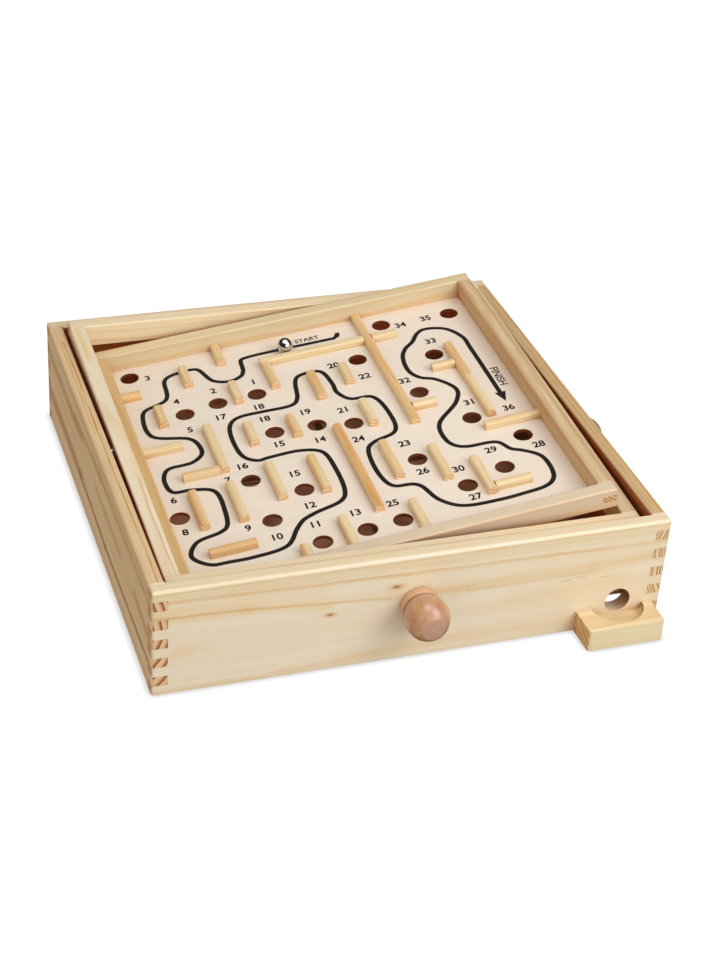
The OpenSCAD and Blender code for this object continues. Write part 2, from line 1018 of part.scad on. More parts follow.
module frame_eyes() {
    color("goldenrod")
        in_frame()
            for (side = [-1, 1])
                translate([frame_eye.x, side * frame_eye.y, frame_eye.z])
                    screw_eye();
}

// Points at which the loose cords leave their windings, to the left or front and right or back
function tray_cord_start(side) =
    [side * cord_start, -cord_off - side * winding_l / 2, front_shaft_z - cord_r];
function frame_cord_start(side) =
    [cord_off + side * winding_l / 2, side * cord_start, right_shaft_z - cord_r];
function tray_eye_point(side) = tray_point([side * tray_eye.x, tray_eye.y, tray_eye.z]);
function frame_eye_point(side) =
    frame_point([frame_eye.x, side * frame_eye.y, frame_eye.z]);
// Point at a distance from a on the way to b
function toward(a, b, distance) = a + (b - a) * distance / norm(b - a);

eye_clear = eye_d / 2 + rest_gap;

module tray_cord() {
    color("dimgray")
        in_box() {
            rod(tray_cord_start(1), toward(tray_eye_point(1), tray_cord_start(1), eye_clear), cord_d);
            rod(tray_cord_start(-1),
                toward(tray_eye_point(-1), tray_cord_start(-1), eye_clear + spring_l + rest_gap), cord_d);
        }
}

module frame_cord() {
    color("dimgray")
        in_box() {
            rod(frame_cord_start(1), toward(frame_eye_point(1), frame_cord_start(1), eye_clear), cord_d);
            rod(frame_cord_start(-1),
                toward(frame_eye_point(-1), frame_cord_start(-1), eye_clear + spring_l + rest_gap), cord_d);
        }
}

// Coil spring along z: its curls narrow to the axis over the first and the last one, and the
// wire leaves along the axis at both ends
spring_steps = 8;

function spring_path() =
    let (
        steps = spring_curls * spring_steps,
        curl_r = (spring_d - spring_wire) / 2,
        lead = 2 * spring_wire
    )
    [
        [[0, 0, 0], [1, 0, 0]],
        for (i = [0:steps])
            let (
                a = i * 360 / spring_steps,
                r = curl_r * min(1, i / spring_steps, (steps - i) / spring_steps),
                z = lead + (spring_l - 2 * lead) * i / steps
            )
                [[r * cos(a), r * sin(a), z], [cos(a), sin(a), 0]],
        [[0, 0, spring_l], [1, 0, 0]]
    ];

module tension_spring(from, to) {
    path = spring_path();
    run = unit(to - from);
    echo("least gap of a spring to itself", self_gap(path, spring_steps, spring_wire));
    translate(toward(from, to, eye_clear))
        rotate([0, acos(run.z), atan2(run.y, run.x)])
            tube(path, spring_wire);
}

module tray_spring() {
    color("gray")
        in_box()
            tension_spring(tray_eye_point(-1), tray_cord_start(-1));
}

module frame_spring() {
    color("gray")
        in_box()
            tension_spring(frame_eye_point(-1), frame_cord_start(-1));
}

front_wall();
back_wall();
left_wall();
right_wall();
floor_sheet();
front_batten();
back_batten();
left_batten();
right_batten();
floor_brads();
catch_block();
frame_front_rail();
frame_back_rail();
frame_left_rail();
frame_right_rail();
frame_pins();
tray_pins();
frame_eyes();
frame_cord();
frame_spring();
tray_front_wall();
tray_back_wall();
tray_left_wall();
tray_right_wall();
maze_board();
long_sticks_back_left();
long_sticks_back_right();
long_sticks_front_left();
long_sticks_front_right();
cross_sticks_back_left();
cross_sticks_back_right();
cross_sticks_front_left();
cross_sticks_front_right();
elbow_sticks();
amber_stick();
tray_eyes();
tray_cord();
tray_spring();
front_shaft();
front_knob();
front_washer();
front_winding();
right_shaft();
right_knob();
right_washer();
right_winding();
steel_ball();
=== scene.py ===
# Wooden labyrinth game: finishes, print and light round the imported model.
# Places are in metres in the model's own frame, and sizes named here are in millimetres.
import bmesh
import bpy
import json
import math
from mathutils import Matrix, Vector


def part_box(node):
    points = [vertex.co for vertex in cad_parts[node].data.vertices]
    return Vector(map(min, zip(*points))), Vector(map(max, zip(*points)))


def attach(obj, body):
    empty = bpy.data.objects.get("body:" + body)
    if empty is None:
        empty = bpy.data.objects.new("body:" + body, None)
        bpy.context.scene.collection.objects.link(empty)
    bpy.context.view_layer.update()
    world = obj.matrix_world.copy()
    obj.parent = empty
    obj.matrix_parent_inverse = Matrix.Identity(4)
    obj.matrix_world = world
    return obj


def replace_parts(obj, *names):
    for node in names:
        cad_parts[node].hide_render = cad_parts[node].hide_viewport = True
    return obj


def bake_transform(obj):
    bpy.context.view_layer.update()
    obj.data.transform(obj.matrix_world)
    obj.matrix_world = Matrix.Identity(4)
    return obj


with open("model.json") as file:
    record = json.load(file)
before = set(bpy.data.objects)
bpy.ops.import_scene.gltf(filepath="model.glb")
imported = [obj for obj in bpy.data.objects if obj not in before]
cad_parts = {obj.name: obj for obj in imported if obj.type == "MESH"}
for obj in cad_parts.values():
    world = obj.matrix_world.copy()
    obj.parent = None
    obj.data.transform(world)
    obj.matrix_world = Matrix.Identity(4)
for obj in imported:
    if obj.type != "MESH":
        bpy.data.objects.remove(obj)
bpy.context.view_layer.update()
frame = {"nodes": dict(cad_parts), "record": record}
nodes = frame["nodes"]
mm = 0.001
print("stage: model loaded,", len(nodes), "nodes")

# Camera. It stands where the photograph was taken from, measured from the box's front left foot.
cameraView = {
    "place": (-194.7, -845.6, 717.9),
    "turn": 20.29,  # degrees, as are down and roll
    "down": 33.05,
    "roll": 4.12,
    "focalPixels": 1938,
    "pictureHeight": 960,
    "filmHeight": 36,
}


def makeCamera():
    camera = bpy.data.cameras.new("camera")
    camera.sensor_width = cameraView["filmHeight"]
    camera.lens = cameraView["focalPixels"] * camera.sensor_width / cameraView["pictureHeight"]
    turn, down, roll = (math.radians(cameraView[k]) for k in ("turn", "down", "roll"))
    ahead = Vector((math.sin(turn) * math.cos(down), math.cos(turn) * math.cos(down), -math.sin(down)))
    level = Vector((math.cos(turn), -math.sin(turn), 0))
    above = level.cross(ahead)
    right = level * math.cos(roll) + above * math.sin(roll)
    up = above * math.cos(roll) - level * math.sin(roll)
    piece = bpy.data.objects.new("camera", camera)
    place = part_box("front_wall")[0] + Vector(cameraView["place"]) * mm
    piece.matrix_world = Matrix.Translation(place) @ Matrix((right, up, -ahead)).transposed().to_4x4()
    bpy.context.scene.collection.objects.link(piece)
    bpy.context.scene.camera = piece


makeCamera()
print("stage: camera")

# How the nested frames stand at rest, for what lies in the tilted ones: tilts in degrees, and the
# board's top in millimetres from the pivots, square to the tray
pose = {"frameTilt": 2.8, "trayTilt": -7.5, "boardTop": -7}
joints = frame["record"]["behaviour"]["joints"]
pivot = Vector(next(joint["pos_m"] for joint in joints if joint["name"] == "frame_tilt"))
turnFrame = Matrix.Rotation(math.radians(pose["frameTilt"]), 3, "X")
turnTray = turnFrame @ Matrix.Rotation(math.radians(pose["trayTilt"]), 3, "Y")
onTray = Matrix.Translation(pivot) @ turnTray.to_4x4()


# Small helpers for materials
def linear(code):
    channels = [int(code[i:i + 2], 16) / 255 for i in (1, 3, 5)]
    return [c / 12.92 if c <= 0.04045 else ((c + 0.055) / 1.055) ** 2.4 for c in channels] + [1]


# Adds one node. An input that is another node's output is linked and any other is set. The output
# named by out is handed back, to be linked on.
def addNode(tree, kind, inputs=None, out=0, **settings):
    node = tree.nodes.new("ShaderNode" + kind)
    for key, value in settings.items():
        setattr(node, key, value)
    for key, value in (inputs or {}).items():
        socket = node.inputs[key]
        if isinstance(value, bpy.types.NodeSocket):
            tree.links.new(value, socket)
        else:
            socket.default_value = value
    return node.outputs[out] if node.outputs else None


# Settings that many nodes share. A Mix of colours takes its share at input 0 and the colours at 6
# and 7, and VectorMath takes the number that it scales by at input 3.
mixing = {"out": 2, "data_type": "RGBA"}
smooth = {"interpolation_type": "SMOOTHSTEP"}
ofLength = {"out": 1, "operation": "LENGTH"}
ofDot = {"out": 1, "operation": "DOT_PRODUCT"}


def startMaterial(name):
    material = bpy.data.materials.new(name)
    material.use_nodes = True
    tree = material.node_tree
    tree.nodes.clear()
    return material, tree


def finishMaterial(tree, **sockets):
    inputs = {name.replace("_", " "): value for name, value in sockets.items()}
    addNode(tree, "OutputMaterial", {"Surface": addNode(tree, "BsdfPrincipled", inputs)})


def giveMaterial(node, material):
    for slot in nodes[node].material_slots:
        slot.material = material


def middleOf(node):
    low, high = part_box(node)
    return (low + high) / 2


# Millimetres in a piece's own board: along the grain, across the wide face, and out of it
def placeInWood(tree, middle, axes):
    return addNode(tree, "Mapping", {
        "Vector": addNode(tree, "TexCoord", out="Object"),
        "Location": middle,
        "Rotation": axes.to_euler("XYZ"),
        "Scale": (mm, mm, mm),
    }, vector_type="TEXTURE")


# A cloud stretched along the grain, of a length and a width in millimetres
def grainCloud(tree, places, length, width, out=0, **inputs):
    stretch = (1 / length, 1 / width, 1 / width)
    stretched = addNode(tree, "VectorMath", {0: places, 1: stretch}, operation="MULTIPLY")
    return addNode(tree, "TexNoise", {"Vector": stretched, "Scale": 1, **inputs}, out)


# Painted shade: light that has bounced from wood to wood in a narrow gap comes out red-brown, so the
# colour is darkened and reddened where ambient occlusion finds a gap
creviceShading = {"reach": 14, "closed": 0.12, "open": 0.45, "samples": 5}


def paintCreviceShade(tree, colour, shade):
    openness = addNode(tree, "AmbientOcclusion", {"Distance": creviceShading["reach"] * mm}, "AO",
        samples=creviceShading["samples"])
    clear = addNode(tree, "MapRange",
        {"Value": openness, "From Min": creviceShading["closed"], "From Max": creviceShading["open"]})
    tint = addNode(tree, "Mix", {0: clear, 6: linear(shade), 7: (1, 1, 1, 1)}, **mixing)
    return addNode(tree, "VectorMath", {0: colour, 1: tint}, operation="MULTIPLY")


# Pine. Pale, straight-grained softwood, planed, sanded and clear lacquered: a satin face on
# which the dark late wood of each ring shows as an orange line, and as bars on the end grain.
pine = {
    "light": "#ecdcbe",
    "late": "#dda75e",
    "band": "#e8c488",
    "endLight": "#e2bd8c",
    "endLate": "#a4623a",
    "ring": 2.8,  # width of a year's ring
    "across": 0,  # across and depth are where the tree's middle lay from the piece's middle
    "depth": -70,
    "waver": 5,  # how far the rings drift to the side along the grain
    "contrast": 0.6,
    "bands": 0.5,
    "streaks": (),  # side, start, end, half width, colour, amount
    "knots": (),  # along, across, half length, half width
    "roughness": 0.42,
    "grainTurnsAt": None,  # past this the grain runs crosswise
    "endsBeyond": 0,  # end grain shows only this far from the middle, so not in a drilled hole
    "bore": None,  # along, across and radius of a drilled hole
    # the colour that painted shade in narrow gaps multiplies by
    "creviceShade": "#c07f52",
    # the colour of the painted shade on the inner faces that lie in the gaps
    "stain": "#cc8a5c",
    "stainedSide": 0,  # the wide face that gets painted shade, red-brown: 1 looks along the board's depth, -1 against it
}
# Lengths and widths of the patterns, in millimetres, and how far each drift reaches
driftLook = {"rings": (260, 40), "streaks": (70, 25, 1.3), "fibres": (30, 3, 0.35)}
bandLook = {"length": 400, "width": 16, "from": 0.45, "to": 0.7}
streakLook = {
    "reach": 1.15, "patchLength": 30, "patchWidth": 2.2, "from": 0.3, "to": 0.7,
    "faintest": 0.5, "strongest": 1.15,
}
knotLook = {
    "halo": {"colour": "#d6a566", "amount": 0.5, "from": 1, "to": 2.6},
    "heart": {"colour": "#a8642f", "amount": 0.9, "from": 0.2, "to": 1.2},
}
ringLook = {"unevenOver": 4, "uneven": 2.4, "rises": (0.3, 0.88), "falls": (0.9, 1), "faintest": 0.25}
# Painted shade in a drilled hole: its colour, where light comes from, and how much stays where it falls
boreShadeLook = {"colour": "#8c5d3c", "lightFrom": (0.5, 1, 0), "darkFrom": -0.2, "least": 0.2}
endLook = {"from": 0.7, "to": 0.9}
gapShadeLook = {"from": 0.8, "to": 0.97}
fibre = {"length": 30, "width": 0.8, "shade": 0.05, "relief": 0.04, "smoother": 0.06, "rougher": 0.08}
# Board frames: grain, across the wide face, and out of it
straight = Matrix.Identity(3)
alongX = Matrix(((1, 0, 0), (0, 0, -1), (0, 1, 0)))
alongY = Matrix(((0, 0, 1), (1, 0, 0), (0, 1, 0)))
flatX = Matrix.Identity(3)
flatY = Matrix(((0, -1, 0), (1, 0, 0), (0, 0, 1)))


# Past a place along the grain the wood lies crosswise, as in the second stick of an elbow
def turnGrain(tree, spot, isPast):
    along, across, depth = (addNode(tree, "SeparateXYZ", {0: spot}, axis) for axis in "XYZ")
    back = addNode(tree, "Math", {0: across, 1: -1}, operation="MULTIPLY")
    crossed = addNode(tree, "CombineXYZ", {"X": back, "Y": along, "Z": depth})
    return addNode(tree, "Mix", {0: isPast, 4: spot, 5: crossed}, 1, data_type="VECTOR")


# How far the lines of the grain drift to the side, at each place
def driftGrain(tree, inWood, length, width, reach):
    cloud = grainCloud(tree, inWood, length, width, 1)
    centred = addNode(tree, "VectorMath", {0: cloud, 1: (0.5, 0.5, 0.5)}, operation="SUBTRACT")
    return addNode(tree, "VectorMath", {0: centred, 3: 2 * reach}, operation="SCALE")


# A soft line in the wide face (or the narrow edge) of a board, from one point to another
def addStreak(tree, colour, places, patchy, streak):
    side, start, end, halfWidth, shade, amount = streak
    onFace = side == "face"
    a, b = (Vector((p[0], p[1] if onFace else 0, 0 if onFace else p[1])) for p in (start, end))
    plane = (1, 1, 0) if onFace else (1, 0, 1)
    flat = addNode(tree, "VectorMath", {0: places, 1: plane}, operation="MULTIPLY")
    offset = addNode(tree, "VectorMath", {0: flat, 1: a}, operation="SUBTRACT")
    share = addNode(tree, "VectorMath", {0: offset, 1: (b - a) / (b - a).length_squared}, **ofDot)
    held = addNode(tree, "Math", {0: share, 1: 0}, operation="ADD", use_clamp=True)
    nearest = addNode(tree, "VectorMath", {0: b - a, 3: held}, operation="SCALE")
    away = addNode(tree, "VectorMath", {0: offset, 1: nearest}, operation="SUBTRACT")
    strength = addNode(tree, "MapRange", {
        "Value": addNode(tree, "VectorMath", {0: away}, **ofLength),
        "From Min": 0, "From Max": streakLook["reach"] * halfWidth, "To Min": amount, "To Max": 0,
    }, **smooth)
    strength = addNode(tree, "Math", {0: strength, 1: patchy}, operation="MULTIPLY")
    return addNode(tree, "Mix", {0: strength, 6: colour, 7: linear(shade)}, **mixing)


# A pin knot: a dark heart in a yellow halo
def addKnot(tree, colour, places, knot):
    along, across, halfLength, halfWidth = knot
    offset = addNode(tree, "VectorMath", {0: places, 1: (along, across, 0)}, operation="SUBTRACT")
    stretch = (1 / halfLength, 1 / halfWidth, 0)
    stretched = addNode(tree, "VectorMath", {0: offset, 1: stretch}, operation="MULTIPLY")
    reach = addNode(tree, "VectorMath", {0: stretched}, **ofLength)
    for look in (knotLook["halo"], knotLook["heart"]):
        strength = addNode(tree, "MapRange", {
            "Value": reach, "From Min": look["from"], "From Max": look["to"],
            "To Min": look["amount"], "To Max": 0,
        }, **smooth)
        colour = addNode(tree, "Mix", {0: strength, 6: colour, 7: linear(look["colour"])}, **mixing)
    return colour


# Share of late wood at each place: rings round the tree's middle, each with its own strength
def growRings(tree, places, look):
    pith = (0, look["across"], look["depth"])
    fromPith = addNode(tree, "VectorMath", {0: places, 1: pith}, operation="SUBTRACT")
    flat = addNode(tree, "VectorMath", {0: fromPith, 1: (0, 1, 1)}, operation="MULTIPLY")
    radius = addNode(tree, "VectorMath", {0: flat}, **ofLength)
    slow = addNode(tree, "Math", {0: radius, 1: ringLook["unevenOver"] * look["ring"]}, operation="DIVIDE")
    uneven = addNode(tree, "TexNoise", {"W": slow, "Scale": 1}, noise_dimensions="1D")
    count = addNode(tree, "Math", {0: radius, 1: look["ring"]}, operation="DIVIDE")
    count = addNode(tree, "Math", {0: uneven, 1: ringLook["uneven"], 2: count}, operation="MULTIPLY_ADD")
    within = addNode(tree, "Math", {0: count}, operation="FRACT")
    ringNumber = addNode(tree, "Math", {0: count}, operation="FLOOR")
    (riseFrom, riseTo), (fallFrom, fallTo) = ringLook["rises"], ringLook["falls"]
    rising = addNode(tree, "MapRange",
        {"Value": within, "From Min": riseFrom, "From Max": riseTo}, **smooth)
    falling = addNode(tree, "MapRange",
        {"Value": within, "From Min": fallFrom, "From Max": fallTo, "To Min": 1, "To Max": 0}, **smooth)
    ringShape = addNode(tree, "Math", {0: rising, 1: falling}, operation="MULTIPLY")
    chance = addNode(tree, "TexWhiteNoise", {"W": ringNumber}, noise_dimensions="1D")
    strength = addNode(tree, "MapRange", {"Value": chance, "To Min": ringLook["faintest"], "To Max": 1})
    return ringShape, addNode(tree, "Math", {0: ringShape, 1: strength}, operation="MULTIPLY")


# Face grain: broad yellow bands, late wood, then this board's own streaks and pin knots
def paintFace(tree, look, inWood, streakPlaces, places, lateWood):
    bandCloud = grainCloud(tree, places, bandLook["length"], bandLook["width"], Detail=1)
    bandAmount = addNode(tree, "MapRange", {
        "Value": bandCloud, "From Min": bandLook["from"], "From Max": bandLook["to"], "To Max": look["bands"],
    }, **smooth)
    light, band = linear(look["light"]), linear(look["band"])
    colour = addNode(tree, "Mix", {0: bandAmount, 6: light, 7: band}, **mixing)
    faceAmount = addNode(tree, "Math", {0: lateWood, 1: look["contrast"]}, operation="MULTIPLY")
    colour = addNode(tree, "Mix", {0: faceAmount, 6: colour, 7: linear(look["late"])}, **mixing)
    patches = grainCloud(tree, inWood, streakLook["patchLength"], streakLook["patchWidth"], Detail=2)
    patchy = addNode(tree, "MapRange", {
        "Value": patches, "From Min": streakLook["from"], "From Max": streakLook["to"],
        "To Min": streakLook["faintest"], "To Max": streakLook["strongest"],
    })
    for streak in look["streaks"]:
        colour = addStreak(tree, colour, streakPlaces, patchy, streak)
    for knot in look["knots"]:
        colour = addKnot(tree, colour, inWood, knot)
    return colour


# End grain: darker, with the rings as sharp bars
def paintEnds(tree, look, colour, inWood, normal, ringShape):
    bars = {0: ringShape, 6: linear(look["endLight"]), 7: linear(look["endLate"])}
    facing = addNode(tree, "SeparateXYZ", {0: normal}, "X")
    size = addNode(tree, "Math", {0: facing}, operation="ABSOLUTE")
    isEnd = addNode(tree, "MapRange",
        {"Value": size, "From Min": endLook["from"], "From Max": endLook["to"]})
    if look["endsBeyond"]:
        along = addNode(tree, "SeparateXYZ", {0: inWood}, "X")
        fromMiddle = addNode(tree, "Math", {0: along}, operation="ABSOLUTE")
        atEnd = addNode(tree, "Math", {0: fromMiddle, 1: look["endsBeyond"]}, operation="GREATER_THAN")
        isEnd = addNode(tree, "Math", {0: isEnd, 1: atEnd}, operation="MULTIPLY")
    return addNode(tree, "Mix", {0: isEnd, 6: colour, 7: addNode(tree, "Mix", bars, **mixing)}, **mixing)


# Painted shade in a drilled hole: its wall is painted brown by the way it faces, least at the bottom where
# light falls
def paintBoreShade(tree, look, colour, inWood, normal):
    along, across, radius = look["bore"]
    offset = addNode(tree, "VectorMath", {0: inWood, 1: (along, across, 0)}, operation="SUBTRACT")
    flat = addNode(tree, "VectorMath", {0: offset, 1: (1, 1, 0)}, operation="MULTIPLY")
    fromAxis = addNode(tree, "VectorMath", {0: flat}, **ofLength)
    isBore = addNode(tree, "Math", {0: fromAxis, 1: radius}, operation="LESS_THAN")
    lit = addNode(tree, "VectorMath", {0: normal, 1: Vector(boreShadeLook["lightFrom"]).normalized()}, **ofDot)
    amount = addNode(tree, "MapRange", {
        "Value": lit, "From Min": 1, "From Max": boreShadeLook["darkFrom"],
        "To Min": boreShadeLook["least"], "To Max": 1,
    })
    amount = addNode(tree, "Math", {0: amount, 1: isBore}, operation="MULTIPLY")
    return addNode(tree, "Mix", {0: amount, 6: colour, 7: linear(boreShadeLook["colour"])}, **mixing)


# Painted shade: the box's inner faces, seen only down the shaded gaps, are darkened red-brown
def paintGapShade(tree, look, colour, normal):
    outward = addNode(tree, "SeparateXYZ", {0: normal}, "Z")
    inward = addNode(tree, "Math", {0: outward, 1: look["stainedSide"]}, operation="MULTIPLY")
    isGapShaded = addNode(tree, "MapRange",
        {"Value": inward, "From Min": gapShadeLook["from"], "From Max": gapShadeLook["to"]})
    stained = addNode(tree, "VectorMath", {0: colour, 1: linear(look["stain"])[:3]}, operation="MULTIPLY")
    return addNode(tree, "Mix", {0: isGapShaded, 6: colour, 7: stained}, **mixing)


def makePine(node, turn, board, middle=None, **changes):
    look = {**pine, **changes}
    material, tree = startMaterial("pine_" + node)
    axes = turn @ board
    inWood = placeInWood(tree, middle or middleOf(node), axes)
    faceWay = {"Vector": addNode(tree, "TexCoord", out="Normal"), "Rotation": axes.to_euler("XYZ")}
    normal = addNode(tree, "Mapping", faceWay, vector_type="TEXTURE")
    if look["grainTurnsAt"] is not None:
        along = addNode(tree, "SeparateXYZ", {0: inWood}, "X")
        isPast = addNode(tree, "Math", {0: along, 1: look["grainTurnsAt"]}, operation="GREATER_THAN")
        inWood = turnGrain(tree, inWood, isPast)
        normal = turnGrain(tree, normal, isPast)

    # The rings waver slowly along the grain, less from streak to streak, and least from fibre to fibre
    ringDrift = driftGrain(tree, inWood, *driftLook["rings"], look["waver"])
    streakDrift = driftGrain(tree, inWood, *driftLook["streaks"])
    fibreDrift = driftGrain(tree, inWood, *driftLook["fibres"])
    streakPlaces = addNode(tree, "VectorMath", {0: inWood, 1: streakDrift}, operation="ADD")
    streakPlaces = addNode(tree, "VectorMath", {0: streakPlaces, 1: fibreDrift}, operation="ADD")
    places = addNode(tree, "VectorMath", {0: streakPlaces, 1: ringDrift}, operation="ADD")
    ringShape, lateWood = growRings(tree, places, look)
    colour = paintFace(tree, look, inWood, streakPlaces, places, lateWood)
    colour = paintEnds(tree, look, colour, inWood, normal, ringShape)
    if look["bore"]:
        colour = paintBoreShade(tree, look, colour, inWood, normal)
    if look["stainedSide"]:
        colour = paintGapShade(tree, look, colour, normal)

    # Fibres under a millimetre wide shade the colour a little, and carry the gloss and the relief
    fibres = grainCloud(tree, inWood, fibre["length"], fibre["width"], Detail=3)
    shade = addNode(tree, "MapRange",
        {"Value": fibres, "To Min": 1 - fibre["shade"], "To Max": 1 + fibre["shade"]})
    shaded = addNode(tree, "VectorMath", {0: colour, 3: shade}, operation="SCALE")
    least, most = look["roughness"] - fibre["smoother"], look["roughness"] + fibre["rougher"]
    rough = addNode(tree, "MapRange", {"Value": fibres, "To Min": least, "To Max": most})
    height = addNode(tree, "Math", {0: fibres, 1: 0.5, 2: lateWood}, operation="MULTIPLY_ADD")
    relief = addNode(tree, "Bump", {"Strength": 0.3, "Distance": fibre["relief"] * mm, "Height": height})
    # The base colour carries painted shade in narrow gaps
    finishMaterial(tree, Base_Color=paintCreviceShade(tree, shaded, look["creviceShade"]), Roughness=rough,
        Normal=relief, IOR=1.5)
    giveMaterial(node, material)


makePine("front_wall", straight, alongX, across=-8, depth=-70, contrast=0.2, bands=0.2, endsBeyond=140,
    light="#ece0c8", late="#dcb074", stainedSide=-1, bore=(131, -18, 8.35),
    knots=((-54.5, 3.2, 2.4, 1.1), (-14.5, 16.5, 3.2, 1.2)),
    streaks=(
        ("edge", (-160, 0), (160, 0), 5.4, "#e6cb9a", 0.7),
        ("face", (-160, 31.5), (160, 30), 5, "#e4c896", 0.6),
        ("face", (-160, 34), (160, 34), 1.1, "#dfb874", 0.6),
        ("face", (-160, 28.2), (-8, 24.5), 2.0, "#dcb06c", 0.65),
        ("face", (-8, 24.5), (160, 22), 1.8, "#dfb676", 0.6),
        ("face", (-160, 22), (-60, 19), 7, "#ecd0a0", 0.4),
        ("face", (-160, 18), (-105, 15.8), 6, "#e6c288", 0.5),
        ("face", (-105, 15.8), (-55, 9.9), 5, "#e6c288", 0.45),
        ("face", (-160, 18), (-105, 15.8), 1.4, "#d4a660", 0.7),
        ("face", (-105, 15.8), (-18, 8.8), 1.4, "#d8ac66", 0.65),
        ("face", (-18, 8.8), (30, 8), 3, "#e2bd80", 0.4),
        ("face", (21, 8.6), (112, 9.3), 6, "#e2bd84", 0.45),
        ("face", (112, 9.3), (160, 13), 7, "#e2bd84", 0.45),
        ("face", (30, 6), (112, 6.5), 1.5, "#d6aa70", 0.4),
        ("face", (60, -4), (130, 1), 9, "#e6c890", 0.35),
        ("face", (-84, -34), (14, -28), 5, "#e3b97c", 0.4),
        ("face", (14, -28), (112, -29), 5, "#e3b97c", 0.35),
        ("face", (-160, -35.5), (-90, -35.5), 3, "#e3bb79", 0.4),
        ("face", (-146, -8), (-139, -8), 6, "#e8c182", 0.45),
        ("face", (92, 2.4), (97, 2.6), 0.6, "#c49a66", 0.6),
        ("face", (101, 3.6), (108, 3.4), 0.6, "#c49a66", 0.5),
        ("face", (118, 1.2), (123, 1.2), 0.5, "#c49a66", 0.5),
    ))
makePine("back_wall", straight, alongX, across=6, depth=55, ring=3.2, light="#e4d2b0", contrast=0.5,
    stainedSide=1,
    streaks=(
        ("face", (-140, 24), (-20, 27), 2.5, "#d9a05c", 0.5),
        ("face", (0, 31), (120, 29), 2, "#d9a05c", 0.5),
    ))
makePine("left_wall", straight, alongY, across=10, depth=-45, ring=4.6, contrast=0.3, light="#edd2a8",
    late="#cfa365", stainedSide=1, endLight="#e6c192", endLate="#9c5530",
    streaks=(
        ("face", (160, 18), (40, 16.5), 6.5, "#c39556", 0.8),
        ("face", (60, 20), (-20, 24.5), 5, "#c69d60", 0.8),
        ("face", (-20, 24.5), (-160, 25), 4.5, "#c69d60", 0.8),
        ("face", (160, 33), (-160, 34), 3, "#d2ae72", 0.7),
        ("face", (160, -14), (40, -15), 8.5, "#c08a4e", 0.85),
        ("face", (50, -15.5), (-32, -19.5), 4, "#a8743e", 0.9),
        ("face", (-32, -19.5), (-150, -18), 3.6, "#a8743e", 0.9),
        ("face", (-5, 7.5), (-78, 5), 4.5, "#c8a264", 0.7),
        ("face", (-115, 5.5), (-158, -2), 4.5, "#c49858", 0.75),
        ("face", (120, 2), (60, 1), 8, "#e2c08c", 0.4),
        ("face", (160, -30), (-160, -31), 4, "#dcb98e", 0.6),
        ("edge", (160, 0), (-160, 0), 5, "#d2b587", 0.6),
        ("edge", (130, 1), (-154, 1), 0.8, "#c9822e", 0.95),
        ("edge", (150, -1.4), (10, -1.2), 1, "#d39c53", 0.65),
        ("edge", (150, 3.2), (-150, 3.4), 0.7, "#d3a25f", 0.5),
    ))
makePine("right_wall", straight, alongY, across=8, depth=50, ring=1.9, contrast=0.7, light="#d6b98c",
    late="#b08346", endLight="#e8cba0", endLate="#a06a3c", stainedSide=-1,
    streaks=(
        ("edge", (160, 1.9), (-160, 2.3), 0.9, "#bd8a3e", 0.8),
        ("edge", (160, -0.9), (-160, -0.5), 0.7, "#c4944c", 0.7),
    ))
makePine("catch_block", straight, alongX, across=60, depth=50, ring=2.4, light="#eadbb4", late="#d9b076",
    contrast=0.35, endLate="#a8682c", endLight="#ecca8c",
    streaks=(
        # Painted shade: this broad band darkens the block's top against its front face
        ("edge", (-25, 0), (25, 0), 9.5, "#cfa866", 0.6),
        ("edge", (-25, 7), (25, 5), 1, "#c89a58", 0.6),
    ))
for node in ("front_batten", "back_batten"):
    makePine(node, straight, alongX, ring=2.2, depth=-40)
for node in ("left_batten", "right_batten"):
    makePine(node, straight, alongY, ring=2.2, depth=-40)
makePine("frame_front_rail", turnFrame, alongX, across=20, depth=-50, light="#ecd9b6", contrast=0.5)
makePine("frame_back_rail", turnFrame, alongX, across=-30, depth=-60, light="#f0debb", contrast=0.45)
makePine("frame_left_rail", turnFrame, alongY, across=90, depth=-10, light="#efe0c2", contrast=0.35,
    streaks=(
        ("edge", (-40, 2), (-140, 2.6), 0.7, "#cf9450", 0.7),
        ("edge", (135, -0.5), (95, 0), 3, "#e8c47e", 0.7),
    ))
makePine("frame_right_rail", turnFrame, alongY, across=-90, depth=20, light="#dcc09c", late="#b08458",
    ring=1.6)
makePine("tray_front_wall", turnTray, alongX, across=30, depth=-80, light="#dccab0", contrast=0.3)
makePine("tray_back_wall", turnTray, alongX, across=-50, depth=-70, light="#dfcda8", contrast=0.5)
makePine("tray_left_wall", turnTray, alongY, across=70, depth=-20, light="#dcbb84", late="#d2944e")
# Painted light and shade: the darker colour paints shade on the wall's inner face, and the pale band along
# its top paints the top lit
makePine("tray_right_wall", turnTray, alongY, across=-60, depth=-50, light="#c39864", late="#a87a4e",
    ring=1.8, contrast=0.45, streaks=(("edge", (-130, 0), (130, 0), 5.2, "#dcc6a2", 0.9),))

